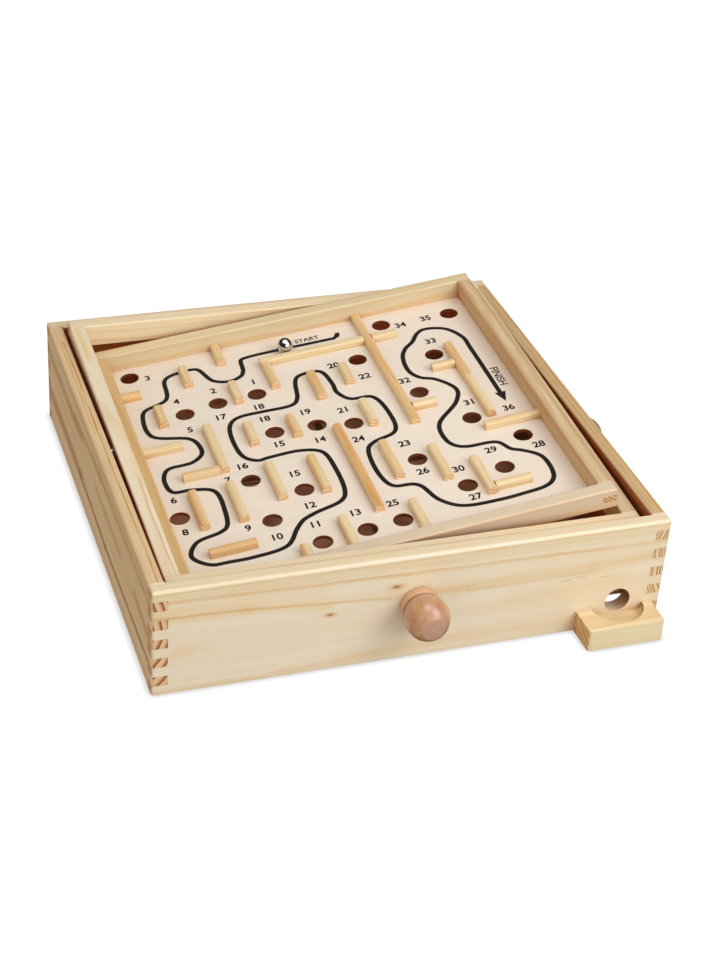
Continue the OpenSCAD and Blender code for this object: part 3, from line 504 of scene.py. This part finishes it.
# The maze's sticks are cut from a yellower strip, some of it orange. Their places are the tray's own
strip = {"light": "#ecd6aa", "band": "#e0b06c", "late": "#d9a45e", "bands": 0.7, "contrast": 0.5,
    "endLight": "#efd3a6", "endLate": "#d59a5c", "ring": 1.9, "middle": pivot}
longStickTones = (
    ("face", (-12, -49.5), (124, -49.5), 4.2, "#dfa55c", 0.75),
    ("face", (28, -98), (66, -98), 4.2, "#dc9c50", 0.8),
    ("face", (-86, 0.5), (5, 0.5), 4.4, "#d8994c", 0.85),
    ("face", (-60, -21.5), (-22, -21.5), 4.2, "#e6b980", 0.6),
    ("face", (39, -1), (69, -1), 2.4, "#dda257", 0.6),
)
for node in nodes:
    if node.startswith("long_sticks"):
        makePine(node, turnTray, flatY, across=40, depth=-160, streaks=longStickTones, **strip)
    if node.startswith("cross_sticks"):
        makePine(node, turnTray, flatX, across=30, depth=-150, **strip)
makePine("elbow_sticks", turnTray, flatY, across=40, depth=-160, grainTurnsAt=88, **strip)
amberStrip = {**strip, "light": "#ecca8c", "band": "#dba04c", "late": "#cf8a38", "bands": 1}
makePine("amber_stick", turnTray, flatX, **amberStrip)
print("stage: pine")

# Birch plywood. Rotary-cut veneer, sanded: cream with a faint flame figure. The walls of the maze
# board's holes are painted dark red-brown as shade, below a pale rim of painted light. The floor
# sheet has a brown stained upper face with paler patches of painted light, and the stripes of its
# veneers show at its edge.
plywood = {
    "maze_board": {
        "light": "#f4e9da", "figure": "#eadccb",
        # hole walls: painted shade, dark red-brown, below a pale rim of painted light
        "edge": ("#7d4326", "#653015"), "litRim": "#e6cfae", "litRimDepth": (0.7, 0.4),
    },
    "floor_sheet": {
        # paler patches of painted light on the floor sheet: colour, patch size and amount
        "light": "#74502e", "figure": "#5c3c1e", "paintedLight": "#9a7a66", "paintedLightPatch": 42, "paintedLightAmount": 0.85,
        "edge": ("#dcbf94", "#8f5a30"), "ply": 1.0,
    },
}
# Sizes and relief of the figure, and the colour that painted shade in narrow gaps multiplies by
plywoodFigure = {"length": 120, "width": 9, "relief": 0.03, "creviceShade": "#d8a682"}


def makePlywood(node, turn, middle=None):
    look = plywood[node]
    material, tree = startMaterial("plywood_" + node)
    inWood = placeInWood(tree, middle or middleOf(node), turn)
    figure = grainCloud(tree, inWood, plywoodFigure["length"], plywoodFigure["width"],
        Detail=4, Distortion=0.6)
    face = addNode(tree, "Mix", {0: figure, 6: linear(look["light"]), 7: linear(look["figure"])}, **mixing)
    # Painted light: paler patches on the floor sheet
    if "paintedLight" in look:
        spread = addNode(tree, "VectorMath", {0: inWood, 3: 1 / look["paintedLightPatch"]}, operation="SCALE")
        cloud = addNode(tree, "TexNoise", {"Vector": spread, "Scale": 1}, 1)
        paintedLight = addNode(tree, "MapRange",
            {"Value": cloud, "From Min": 0.45, "From Max": 0.62, "To Max": look["paintedLightAmount"]}, **smooth)
        face = addNode(tree, "Mix", {0: paintedLight, 6: face, 7: linear(look["paintedLight"])}, **mixing)
    depth = addNode(tree, "SeparateXYZ", {0: inWood}, "Z")
    first, second = (linear(shade) for shade in look["edge"])
    if "ply" in look:
        layer = addNode(tree, "Math", {0: depth, 1: 2 * look["ply"]}, operation="DIVIDE")
        inLayer = addNode(tree, "Math", {0: layer}, operation="FRACT")
        isDark = addNode(tree, "MapRange", {"Value": inLayer, "From Min": 0.45, "From Max": 0.55})
        edge = addNode(tree, "Mix", {0: isDark, 6: first, 7: second}, **mixing)
    else:
        edge = addNode(tree, "Mix", {0: figure, 6: first, 7: second}, **mixing)
        # Painted light: a pale band at the top of the hole walls stands for their lit rim
        start, end = (pose["boardTop"] - below for below in look["litRimDepth"])
        isLitRim = addNode(tree, "MapRange", {"Value": depth, "From Min": start, "From Max": end})
        edge = addNode(tree, "Mix", {0: isLitRim, 6: edge, 7: linear(look["litRim"])}, **mixing)
    normal = addNode(tree, "TexCoord", out="Normal")
    facing = addNode(tree, "VectorMath", {0: normal, 1: turn @ Vector((0, 0, 1))}, **ofDot)
    size = addNode(tree, "Math", {0: facing}, operation="ABSOLUTE")
    isFace = addNode(tree, "MapRange", {"Value": size, "From Min": 0.3, "From Max": 0.6})
    colour = addNode(tree, "Mix", {0: isFace, 6: edge, 7: face}, **mixing)
    relief = addNode(tree, "Bump",
        {"Strength": 0.2, "Distance": plywoodFigure["relief"] * mm, "Height": figure})
    # The base colour carries painted shade in narrow gaps
    finishMaterial(tree, Base_Color=paintCreviceShade(tree, colour, plywoodFigure["creviceShade"]), Roughness=0.55,
        Normal=relief, IOR=1.5)
    giveMaterial(node, material)


makePlywood("maze_board", turnTray, pivot)
makePlywood("floor_sheet", straight)
print("stage: plywood")

# Beech. Turned, stained pinkish brown and clear lacquered, so a glossy coat lies over short darker
# flecks. The groove behind the collar is darkened with painted shade, and the end grain drinks more stain.
beech = {
    "light": "#cfa376", "dark": "#b6845e", "toneLength": 40, "toneWidth": 5,
    "pink": "#c09076", "blushLength": 14, "blushWidth": 7,
    "fleck": "#94603f", "fleckLength": 3.0, "fleckWidth": 0.35, "fleckAmount": 0.35,
    "end": "#c0a08a", "endAmount": 0.6, "relief": 0.04,
    "collar": "#e0b184", "collarAmount": 0.6,
    # painted shade in the groove behind the collar: its colour, amount, place and half width
    "grooveShade": "#96603c", "grooveShadeAmount": 0.35, "grooveFromWall": 5.9, "grooveHalf": 0.6,
}


# Grain runs along the knob's axis, which points out of the box
def makeBeech(node, board, wallFace):
    material, tree = startMaterial("beech_" + node)
    inWood = placeInWood(tree, wallFace, board)
    tone = grainCloud(tree, inWood, beech["toneLength"], beech["toneWidth"], Detail=3)
    blush = grainCloud(tree, inWood, beech["blushLength"], beech["blushWidth"], Detail=2, Distortion=1)
    flecks = grainCloud(tree, inWood, beech["fleckLength"], beech["fleckWidth"], Detail=1)
    normal = addNode(tree, "TexCoord", out="Normal")
    facing = addNode(tree, "VectorMath", {0: normal, 1: board @ Vector((1, 0, 0))}, **ofDot)
    along = addNode(tree, "SeparateXYZ", {0: inWood}, "X")
    fromGroove = addNode(tree, "Math", {0: along, 1: beech["grooveFromWall"]}, operation="SUBTRACT")
    off = addNode(tree, "Math", {0: fromGroove}, operation="ABSOLUTE")

    # Each layer of colour: what it follows, where it starts and is full, how strong, and its shade
    layers = (
        (tone, 0.35, 0.65, 0, 1, "dark"),
        (blush, 0.42, 0.62, 0, 1, "pink"),
        (flecks, 0.6, 0.75, 0, beech["fleckAmount"], "fleck"),
        (facing, 0.8, 0.98, 0, beech["endAmount"], "end"),
        (fromGroove, 0.5, 0, 0, beech["collarAmount"], "collar"),
        # painted shade in the groove behind the collar
        (off, 0.1, beech["grooveHalf"], beech["grooveShadeAmount"], 0, "grooveShade"),
    )
    colour = linear(beech["light"])
    for value, start, full, least, most, shade in layers:
        amount = addNode(tree, "MapRange",
            {"Value": value, "From Min": start, "From Max": full, "To Min": least, "To Max": most})
        colour = addNode(tree, "Mix", {0: amount, 6: colour, 7: linear(beech[shade])}, **mixing)
    relief = addNode(tree, "Bump", {"Strength": 0.3, "Distance": beech["relief"] * mm, "Height": flecks})
    finishMaterial(tree, Base_Color=colour, Roughness=0.4, Normal=relief, IOR=1.5,
        Coat_Weight=0.85, Coat_Roughness=0.14)
    giveMaterial(node, material)


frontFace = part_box("front_wall")[0].y
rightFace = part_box("right_wall")[1].x
outOfFront = Matrix(((0, 1, 0), (-1, 0, 0), (0, 0, 1)))
makeBeech("front_knob", outOfFront, (0, frontFace, 0))
makeBeech("right_knob", flatX, (rightFace, 0, 0))
print("stage: beech")

# Metals. Polished ball steel, oily shafts, drawn wire and brass, each with fine drawing or rolling
# marks, which make the gloss uneven by the share given.
metals = {
    "bearing_steel": {"colour": "#e4e4e6", "roughness": 0.03, "marks": 0.02},
    "dull_steel": {"colour": "#6f6962", "roughness": 0.45, "marks": 0.3},
    "drawn_steel": {"colour": "#b9b9bd", "roughness": 0.32, "marks": 0.3},
    "brass": {"colour": "#d8b45a", "roughness": 0.24, "marks": 0.2},
}
metalMarks = {"size": 0.6, "shade": 0.93}
metalNodes = {
    "bearing_steel": ("steel_ball",),
    "dull_steel": ("front_shaft", "right_shaft"),
    "drawn_steel": ("front_washer", "right_washer", "frame_pins", "tray_pins", "floor_brads"),
    "brass": ("frame_eyes", "tray_eyes"),
}


def makeMetal(name):
    look = metals[name]
    material, tree = startMaterial(name)
    spot = addNode(tree, "TexCoord", out="Object")
    scale = 1 / (metalMarks["size"] * mm)
    marks = addNode(tree, "TexNoise", {"Vector": spot, "Scale": scale, "Detail": 2})
    least, most = (look["roughness"] * (1 + share) for share in (-look["marks"], look["marks"]))
    rough = addNode(tree, "MapRange", {"Value": marks, "To Min": least, "To Max": most})
    bright = linear(look["colour"])
    dark = [c * metalMarks["shade"] for c in bright[:3]] + [1]
    colour = addNode(tree, "Mix", {0: marks, 6: bright, 7: dark}, **mixing)
    finishMaterial(tree, Base_Color=colour, Metallic=1.0, Roughness=rough)
    return material


metalMaterials = {name: makeMetal(name) for name in metals}
for name, users in metalNodes.items():
    for node in users:
        giveMaterial(node, metalMaterials[name])
print("stage: metals")

# Cords and springs. Each cord is one string from an eye at one side, under its shaft, where it is
# wound, and on to the eye at the other side, with a small steel spring hooked between them there.
cord = {
    "thickness": 0.8, "turns": 3, "windingLength": 3.9, "windingRadius": 2.95,
    "lead": 0.8, "leadGap": 0.05, "stepsPerTurn": 32, "stepsPerHalf": 24,
    "fromMiddle": 12, "frontShaftHeight": 39, "rightShaftHeight": 33, "eyeClear": 2.7,
    "colour": "#1d1b1a", "ridges": "#3a3735", "ridgeSpacing": 2.8274, "relief": 0.05,
}
spring = {"width": 4, "wire": 0.5, "length": 12, "curls": 9, "gap": 0.2, "stepsPerCurl": 20}
# Eyes are given from the pivots, in the frame or the tray that carries them
strings = {
    "tray": {
        "shaftAt": (pivot.x, pivot.y - cord["fromMiddle"] * mm, cord["frontShaftHeight"] * mm),
        "along": Vector((0, 1, 0)), "sideways": Vector((1, 0, 0)), "eye": (129.25, -12, -13.5),
        "turn": turnTray, "winding": "front_winding",
        "shaft": "front_knob_shaft", "from": "tilting_frame", "to": "maze_tray",
    },
    "frame": {
        "shaftAt": (pivot.x + cord["fromMiddle"] * mm, pivot.y, cord["rightShaftHeight"] * mm),
        "along": Vector((-1, 0, 0)), "sideways": Vector((0, 1, 0)), "eye": (12, 141, -11),
        "turn": turnFrame, "winding": "right_winding",
        "shaft": "right_knob_shaft", "from": "box", "to": "tilting_frame",
    },
}


# A mesh becomes an object of the scene
def addPiece(name, mesh):
    data = bpy.data.meshes.new(name)
    mesh.to_mesh(data)
    mesh.free()
    piece = bpy.data.objects.new(name, data)
    bpy.context.scene.collection.objects.link(piece)
    return piece


# A round tube along a line of points, closed at its ends
def sweepTube(name, line, thickness, sides=12):
    mesh = bmesh.new()
    rings = []
    out = (line[1] - line[0]).orthogonal()
    for i, p in enumerate(line):
        ahead = (line[min(i + 1, len(line) - 1)] - line[max(i - 1, 0)]).normalized()
        out = (out - ahead * out.dot(ahead)).normalized()
        side = ahead.cross(out)
        angles = (2 * math.pi * k / sides for k in range(sides))
        spokes = (out * math.cos(a) + side * math.sin(a) for a in angles)
        rings.append([mesh.verts.new(p + spoke * thickness / 2) for spoke in spokes])
    for a, b in zip(rings, rings[1:]):
        for k in range(sides):
            mesh.faces.new((a[k], a[(k + 1) % sides], b[(k + 1) % sides], b[k]))
    mesh.faces.new(rings[0][::-1])
    mesh.faces.new(rings[-1])
    for face in mesh.faces:
        face.smooth = len(face.verts) == 4
    return addPiece(name, mesh)


# Turns of cord round a shaft, which start and end under it and leave it sideways
def windingLine(shaftAt, along, sideways):
    start, end = (shaftAt + along * s * cord["windingLength"] / 2 * mm for s in (-1, 1))
    under = Vector((0, 0, -cord["windingRadius"] * mm))
    lead = sideways * cord["lead"] * mm
    steps = cord["turns"] * cord["stepsPerTurn"]
    line = [start + under + lead]
    for i in range(steps + 1):
        a = 2 * math.pi * i / cord["stepsPerTurn"]
        fromAxis = under * math.cos(a) - sideways * math.sin(a) * cord["windingRadius"] * mm
        line.append(start.lerp(end, i / steps) + fromAxis)
    return line + [end + under - lead]


# Curls of a spring from one point to another. They narrow to the axis at both ends
def springLine(start, end):
    ahead = (end - start).normalized()
    out = ahead.orthogonal().normalized()
    side = ahead.cross(out)
    perCurl = spring["stepsPerCurl"]
    steps = spring["curls"] * perCurl
    lead = 2 * spring["wire"] * mm
    line = [start]
    for i in range(steps + 1):
        a = 2 * math.pi * i / perCurl
        reach = (spring["width"] - spring["wire"]) / 2 * mm * min(1, i / perCurl, (steps - i) / perCurl)
        at = lead + ((end - start).length - 2 * lead) * i / steps
        line.append(start + ahead * at + (out * math.cos(a) + side * math.sin(a)) * reach)
    return line + [end]


# One string, its winding and its spring, for the tray (front shaft) or the frame (right shaft)
def makeString(what):
    look = strings[what]
    shaftAt, along, sideways = Vector(look["shaftAt"]), look["along"], look["sideways"]
    thickness = cord["thickness"] * mm
    winding = sweepTube(what + "_cord_winding", windingLine(shaftAt, along, sideways), thickness)
    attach(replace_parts(winding, look["winding"]), look["shaft"])
    pieces = [winding]
    for side, place in ((1, "first"), (-1, "second")):
        eyePlace = Vector(look["eye"])
        if side < 0:
            eyePlace -= 2 * eyePlace.dot(sideways) * sideways
        eye = pivot + look["turn"] @ eyePlace * mm
        windingEnd = shaftAt - along * side * cord["windingLength"] / 2 * mm
        leadEnd = sideways * side * (cord["lead"] + cord["leadGap"]) * mm
        start = windingEnd - Vector((0, 0, cord["windingRadius"] * mm)) + leadEnd
        toShaft = (start - eye).normalized()
        end = eye + toShaft * cord["eyeClear"] * mm
        if side < 0:
            hook = end + toShaft * spring["length"] * mm
            coil = sweepTube(what + "_tension_spring", springLine(end, hook), spring["wire"] * mm)
            coil.data.materials.append(metalMaterials["drawn_steel"])
            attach(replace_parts(coil, what + "_spring"), look["to"])
            end = hook + toShaft * spring["gap"] * mm
        steps = cord["stepsPerHalf"]
        line = [start.lerp(end, i / steps) for i in range(steps + 1)]
        piece = sweepTube(f"{what}_cord_{place}_half", line, thickness)
        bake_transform(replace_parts(piece, what + "_cord"))
        pieces.append(piece)
    for piece in pieces:
        piece.data.materials.append(braid)


# Braided polyester, dyed black: matt, with the braid's slanting ridges. A real braid's half
# millimetre is too fine to show, so the ridges are drawn wider apart.
def makeBraid():
    material, tree = startMaterial("braided_polyester")
    spot = addNode(tree, "TexCoord", out="Object")
    scale = 0.2 * math.pi / (cord["ridgeSpacing"] * mm)
    ridges = addNode(tree, "TexWave", {"Vector": spot, "Scale": scale, "Distortion": 1.5}, 1,
        bands_direction="DIAGONAL")
    colour = addNode(tree, "Mix",
        {0: ridges, 6: linear(cord["colour"]), 7: linear(cord["ridges"])}, **mixing)
    relief = addNode(tree, "Bump", {"Strength": 0.6, "Distance": cord["relief"] * mm, "Height": ridges})
    finishMaterial(tree, Base_Color=colour, Roughness=0.75, Normal=relief, Sheen_Weight=0.2)
    return material


braid = makeBraid()
for what in strings:
    makeString(what)
print("stage: cords and springs")

# Print: silk-screened near-black ink, a thin film on the board. Places are on the board, in
# millimetres from the tray's middle.
ink = {
    "colour": "#17110d", "patches": "#241c16", "patchSize": 0.5,
    "gap": 0.02, "film": 0.04, "lineWidth": 3.1,
}
route = (
    (30, 106.5), (-34, 106.5), (-38, 105), (-40, 92), (-43, 86.5), (-52, 83.5), (-62, 88), (-69, 105),
    (-74, 106.5), (-89, 104), (-93, 100), (-97, 78.5), (-113, 71), (-116, 65), (-115, 41.5), (-94, 31),
    (-90, 26), (-89, 12), (-97, 5), (-112, 4), (-115.5, 1.5), (-118.5, -8), (-116, -20.5),
    (-104, -22.5), (-91.5, -28.5), (-90, -50), (-93, -66), (-98, -69.5), (-114, -74), (-120, -86),
    (-111, -97), (-100, -98.5), (-85, -99.5), (-63, -96.5), (-53, -83), (-47, -76.5), (-38, -72.5),
    (-20, -67), (-15.5, -61), (-13.5, -35), (-16.5, -14.5), (-28, -8.5), (-50, -8), (-57, -8.5),
    (-64.5, -2), (-67, 15), (-65, 33), (-61, 39), (-55, 41.5), (-40, 41.5), (-22, 41), (-17.5, 43),
    (-14.5, 48), (-8, 71), (6, 73), (9.5, 70), (12, 55), (12, 44), (18, 34), (32, 31), (37, 8),
    (34, -11), (18, -17), (12.5, -22), (10.5, -52), (15, -64.5), (27, -67.5), (31, -71), (37, -88),
    (48, -98.5), (72, -101.5), (88, -101), (102, -99.5), (108, -96.5), (112, -90), (112, -70),
    (103, -60), (97, -56), (91, -46), (72, -43.5), (66, -40.5), (62, -34), (63, -15), (82, 5),
    (87, 18), (78, 34), (69, 40), (64.5, 49), (66, 67), (71, 76), (78, 82), (84, 90), (90, 93.5),
    (104, 89), (112, 75), (112.5, 60), (112.5, 4),
)
numbers = (
    ("2", -65, 76.5), ("3", -103, 107.5), ("4", -91, 73.5), ("5", -90, 39.5), ("6", -117.5, -29),
    ("7", -80.5, -21.3), ("8", -118, -62), ("9", -81, -72), ("10", -67, -86.5), ("11", -41.5, -83.5),
    ("12", -39.5, -64.5), ("13", -15.5, -81.5), ("14", -14, -2), ("15", -40, 3), ("15", -39.5, -30.5),
    ("16", -68.5, -11), ("17", -68, 45.5), ("18", -41.5, 47.5), ("18", -41.5, 33), ("19", -14.5, 30.5),
    ("20", 19, 75), ("21", 10, 23.5), ("22", 35, 55), ("23", 35.5, -26), ("24", 9.5, -10.5),
    ("25", 9, -81), ("26", 37, -57.5), ("27", 59, -93.5), ("28", 115, -58), ("29", 84.5, -52.5),
    ("30", 58.5, -63.5), ("31", 90, 1), ("32", 58, 40), ("33", 90, 78), ("34", 77, 104.5),
    ("35", 96, 106), ("36", 111.5, -14), ("1", -37, 76.5),
)
words = (("START", 11, 112, 0, 5.9), ("FINISH", 118, 22, -90, 7.6))  # with turn and size
lettering = {"numberSize": 8.0, "numberWeight": 0.22, "wordWeight": 0.12}
arrowHead = ((108.8, 4.5), (112.7, -6.5), (116.4, 4.5))
startMark = ((29, 105.2), (33.4, 107.4), (34.8, 111.8), (32, 112.6), (29, 107.8))


# Centripetal Catmull-Rom curve through the points, as a list of close points
def smoothRoute(points, steps=10):
    places = [Vector(p) for p in points]
    held = [places[0] * 2 - places[1]] + places + [places[-1] * 2 - places[-2]]
    out = []
    for a, b, c, d in zip(held, held[1:], held[2:], held[3:]):
        times = [0]
        for p, q in ((a, b), (b, c), (c, d)):
            times.append(times[-1] + math.sqrt((q - p).length))
        for k in range(steps):
            t = times[1] + (times[2] - times[1]) * k / steps
            row = [a, b, c, d]
            for level in (1, 2):
                shares = [(t - times[i]) / (times[i + level] - times[i]) for i in range(len(row) - 1)]
                row = [p.lerp(q, share) for p, q, share in zip(row, row[1:], shares)]
            out.append(row[0].lerp(row[1], (t - times[1]) / (times[2] - times[1])))
    return out + places[-1:]


# A flat film of ink on the board, with a closed edge all round
def addFilm(mesh, outline):
    low = pose["boardTop"] + ink["gap"]
    bottom = [mesh.verts.new((x, y, low)) for x, y in outline]
    top = [mesh.verts.new((x, y, low + ink["film"])) for x, y in outline]
    mesh.faces.new(top)
    mesh.faces.new(bottom[::-1])
    for i in range(len(outline)):
        k = (i + 1) % len(outline)
        mesh.faces.new((bottom[i], bottom[k], top[k], top[i]))


# The same film, as wide as given along a line
def addBand(mesh, line, width):
    low = pose["boardTop"] + ink["gap"]
    high = low + ink["film"]
    rings = []
    for i, p in enumerate(line):
        along = (line[min(i + 1, len(line) - 1)] - line[max(i - 1, 0)]).normalized()
        s = Vector((-along.y, along.x)) * width / 2
        corners = ((p - s, low), (p + s, low), (p + s, high), (p - s, high))
        rings.append([mesh.verts.new((q.x, q.y, z)) for q, z in corners])
    for a, b in zip(rings, rings[1:]):
        for k in range(4):
            mesh.faces.new((a[k], a[(k + 1) % 4], b[(k + 1) % 4], b[k]))
    mesh.faces.new(rings[0])
    mesh.faces.new(rings[-1][::-1])


def finishPrint(name, mesh):
    bmesh.ops.recalc_face_normals(mesh, faces=mesh.faces)
    mesh.transform(onTray @ Matrix.Scale(mm, 4))
    piece = addPiece(name, mesh)
    piece.data.materials.append(inkMaterial)
    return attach(piece, "maze_tray")


def makeInk():
    material, tree = startMaterial("screen_ink")
    spot = addNode(tree, "TexCoord", out="Object")
    scale = 1 / (ink["patchSize"] * mm)
    patches = addNode(tree, "TexNoise", {"Vector": spot, "Scale": scale, "Detail": 2})
    black, brown = linear(ink["colour"]), linear(ink["patches"])
    colour = addNode(tree, "Mix", {0: patches, 6: black, 7: brown}, **mixing)
    finishMaterial(tree, Base_Color=colour, Roughness=0.7, Specular_IOR_Level=0.25)
    return material


inkMaterial = makeInk()
mesh = bmesh.new()
addBand(mesh, smoothRoute(route), ink["lineWidth"])
addFilm(mesh, arrowHead)
addFilm(mesh, startMark)
finishPrint("printed_line", mesh)


# Lettering from the plain built-in font, turned into film on the board
def addLettering(mesh, text, x, y, size, weight, turn=0):
    curve = bpy.data.curves.new("lettering", "FONT")
    curve.body = text
    curve.size = size
    curve.offset = weight
    curve.extrude = ink["film"] / 2
    curve.align_x = "CENTER"
    curve.align_y = "CENTER"
    curve.resolution_u = 4
    piece = bpy.data.objects.new("lettering", curve)
    bpy.context.scene.collection.objects.link(piece)
    graph = bpy.context.evaluated_depsgraph_get()
    shape = bpy.data.meshes.new_from_object(piece.evaluated_get(graph))
    place = Matrix.Translation((x, y, pose["boardTop"] + ink["gap"] + ink["film"] / 2))
    shape.transform(place @ Matrix.Rotation(math.radians(turn), 4, "Z"))
    mesh.from_mesh(shape)
    bpy.data.objects.remove(piece)


mesh = bmesh.new()
for text, x, y in numbers:
    addLettering(mesh, text, x, y, lettering["numberSize"], lettering["numberWeight"])
for text, x, y, turn, size in words:
    addLettering(mesh, text, x, y, size, lettering["wordWeight"], turn)
finishPrint("printed_numbers", mesh)
print("stage: print")

# Light: a white room that glows warm from the left and softly from in front, weak lamps at the
# right, in front and above, and a white table. The table is bright to the eye but sends no light
# up at the box. Two faint lamps under the maze board stand for the light that wood passes on: one
# shines down on the floor sheet, and one glows up at the board.
light = {
    "roomStrength": 0.88,
    "room": (  # the way to each glow, whose length is its strength, and its colour
        ((-0.92, 0, 0), "#fff2e6"), ((0, -0.62, 0), "#fffaf4"),
        ((0.42, 0, 0), "#ffffff"), ((0, 0.38, 0), "#ffffff"),
    ),
    "mirrored": 0.03, "ceiling": 1.3, "ceilingFrom": (0.8, 0.88),
    "lamps": (
        {"name": "key", "power": 8.5, "size": 0.9, "place": (0.8, -0.75, 1.25)},
        {"name": "low_key", "power": 4.5, "size": 0.9, "place": (0.8, -1.1, 0.75)},
        {"name": "front", "power": 3, "size": 0.9, "place": (0.2, -1.4, 0.8)},
        {"name": "top", "power": 5.2, "size": 0.7, "place": (0.0, -0.15, 1.6)},
        {"name": "inside", "power": 0.06, "size": 0.25,
            "place": (pivot.x, pivot.y, 0.029), "facing": (0, 0, 0), "colour": "#ffe2c6"},
        {"name": "inside_glow", "power": 0.05, "size": 0.29,
            "place": (pivot.x, pivot.y, 0.027), "facing": (math.pi, 0, 0), "colour": "#ffb080"},
    ),
    "table": 1.0, "tableHalf": 6, "tableTone": 0.05, "contactShade": "#8c8c8c", "contactReach": 5,
}


def makeRoom():
    world = bpy.data.worlds.new("room")
    world.use_nodes = True
    tree = world.node_tree
    tree.nodes.clear()
    ahead = addNode(tree, "TexCoord", out="Generated")
    glow = (0, 0, 0)
    for direction, tint in light["room"]:
        facing = addNode(tree, "VectorMath", {0: ahead, 1: direction}, **ofDot)
        share = addNode(tree, "Math", {0: facing, 1: 0}, operation="ADD", use_clamp=True)
        part = addNode(tree, "VectorMath", {0: linear(tint)[:3], 3: share}, operation="SCALE")
        glow = addNode(tree, "VectorMath", {0: part, 1: glow}, operation="ADD")
    # What shines mirrors a darker room, lit by a white ceiling
    height = addNode(tree, "SeparateXYZ", {0: ahead}, "Z")
    start, end = light["ceilingFrom"]
    ceiling = addNode(tree, "MapRange", {
        "Value": height, "From Min": start, "From Max": end,
        "To Min": light["mirrored"], "To Max": light["ceiling"],
    })
    isMirrored = addNode(tree, "LightPath", out="Is Glossy Ray")
    glow = addNode(tree, "Mix", {0: isMirrored, 6: glow, 7: ceiling}, **mixing)
    background = addNode(tree, "Background", {"Color": glow, "Strength": light["roomStrength"]})
    addNode(tree, "OutputWorld", {"Surface": background})
    bpy.context.scene.world = world
    bpy.context.scene.view_settings.view_transform = "Standard"


def makeLamp(look):
    lamp = bpy.data.lights.new(look["name"], "AREA")
    lamp.energy = look["power"]
    lamp.size = look["size"]
    lamp.color = linear(look.get("colour", "#ffffff"))[:3]
    piece = bpy.data.objects.new(look["name"], lamp)
    piece.location = look["place"]
    atMiddle = Vector(look["place"]).to_track_quat("Z", "Y").to_euler()
    piece.rotation_euler = look.get("facing", atMiddle)
    piece.visible_camera = False
    bpy.context.scene.collection.objects.link(piece)


def makeTable():
    mesh = bmesh.new()
    bmesh.ops.create_grid(mesh, x_segments=1, y_segments=1, size=light["tableHalf"])
    material, tree = startMaterial("white_table")
    # Painted shadow: the table's glow is darkened by ambient occlusion where the box meets it
    openness = addNode(tree, "AmbientOcclusion", {"Distance": light["contactReach"] * mm}, "AO")
    shade = {0: openness, 6: linear(light["contactShade"]), 7: (1, 1, 1, 1)}
    finishMaterial(tree, Base_Color=[light["tableTone"]] * 3 + [1], Roughness=0.9,
        Emission_Color=addNode(tree, "Mix", shade, **mixing), Emission_Strength=light["table"])
    table = addPiece("table", mesh)
    table.data.materials.append(material)
    table.visible_diffuse = False
    table.visible_glossy = False


makeRoom()
for look in light["lamps"]:
    makeLamp(look)
makeTable()
print("stage: light")
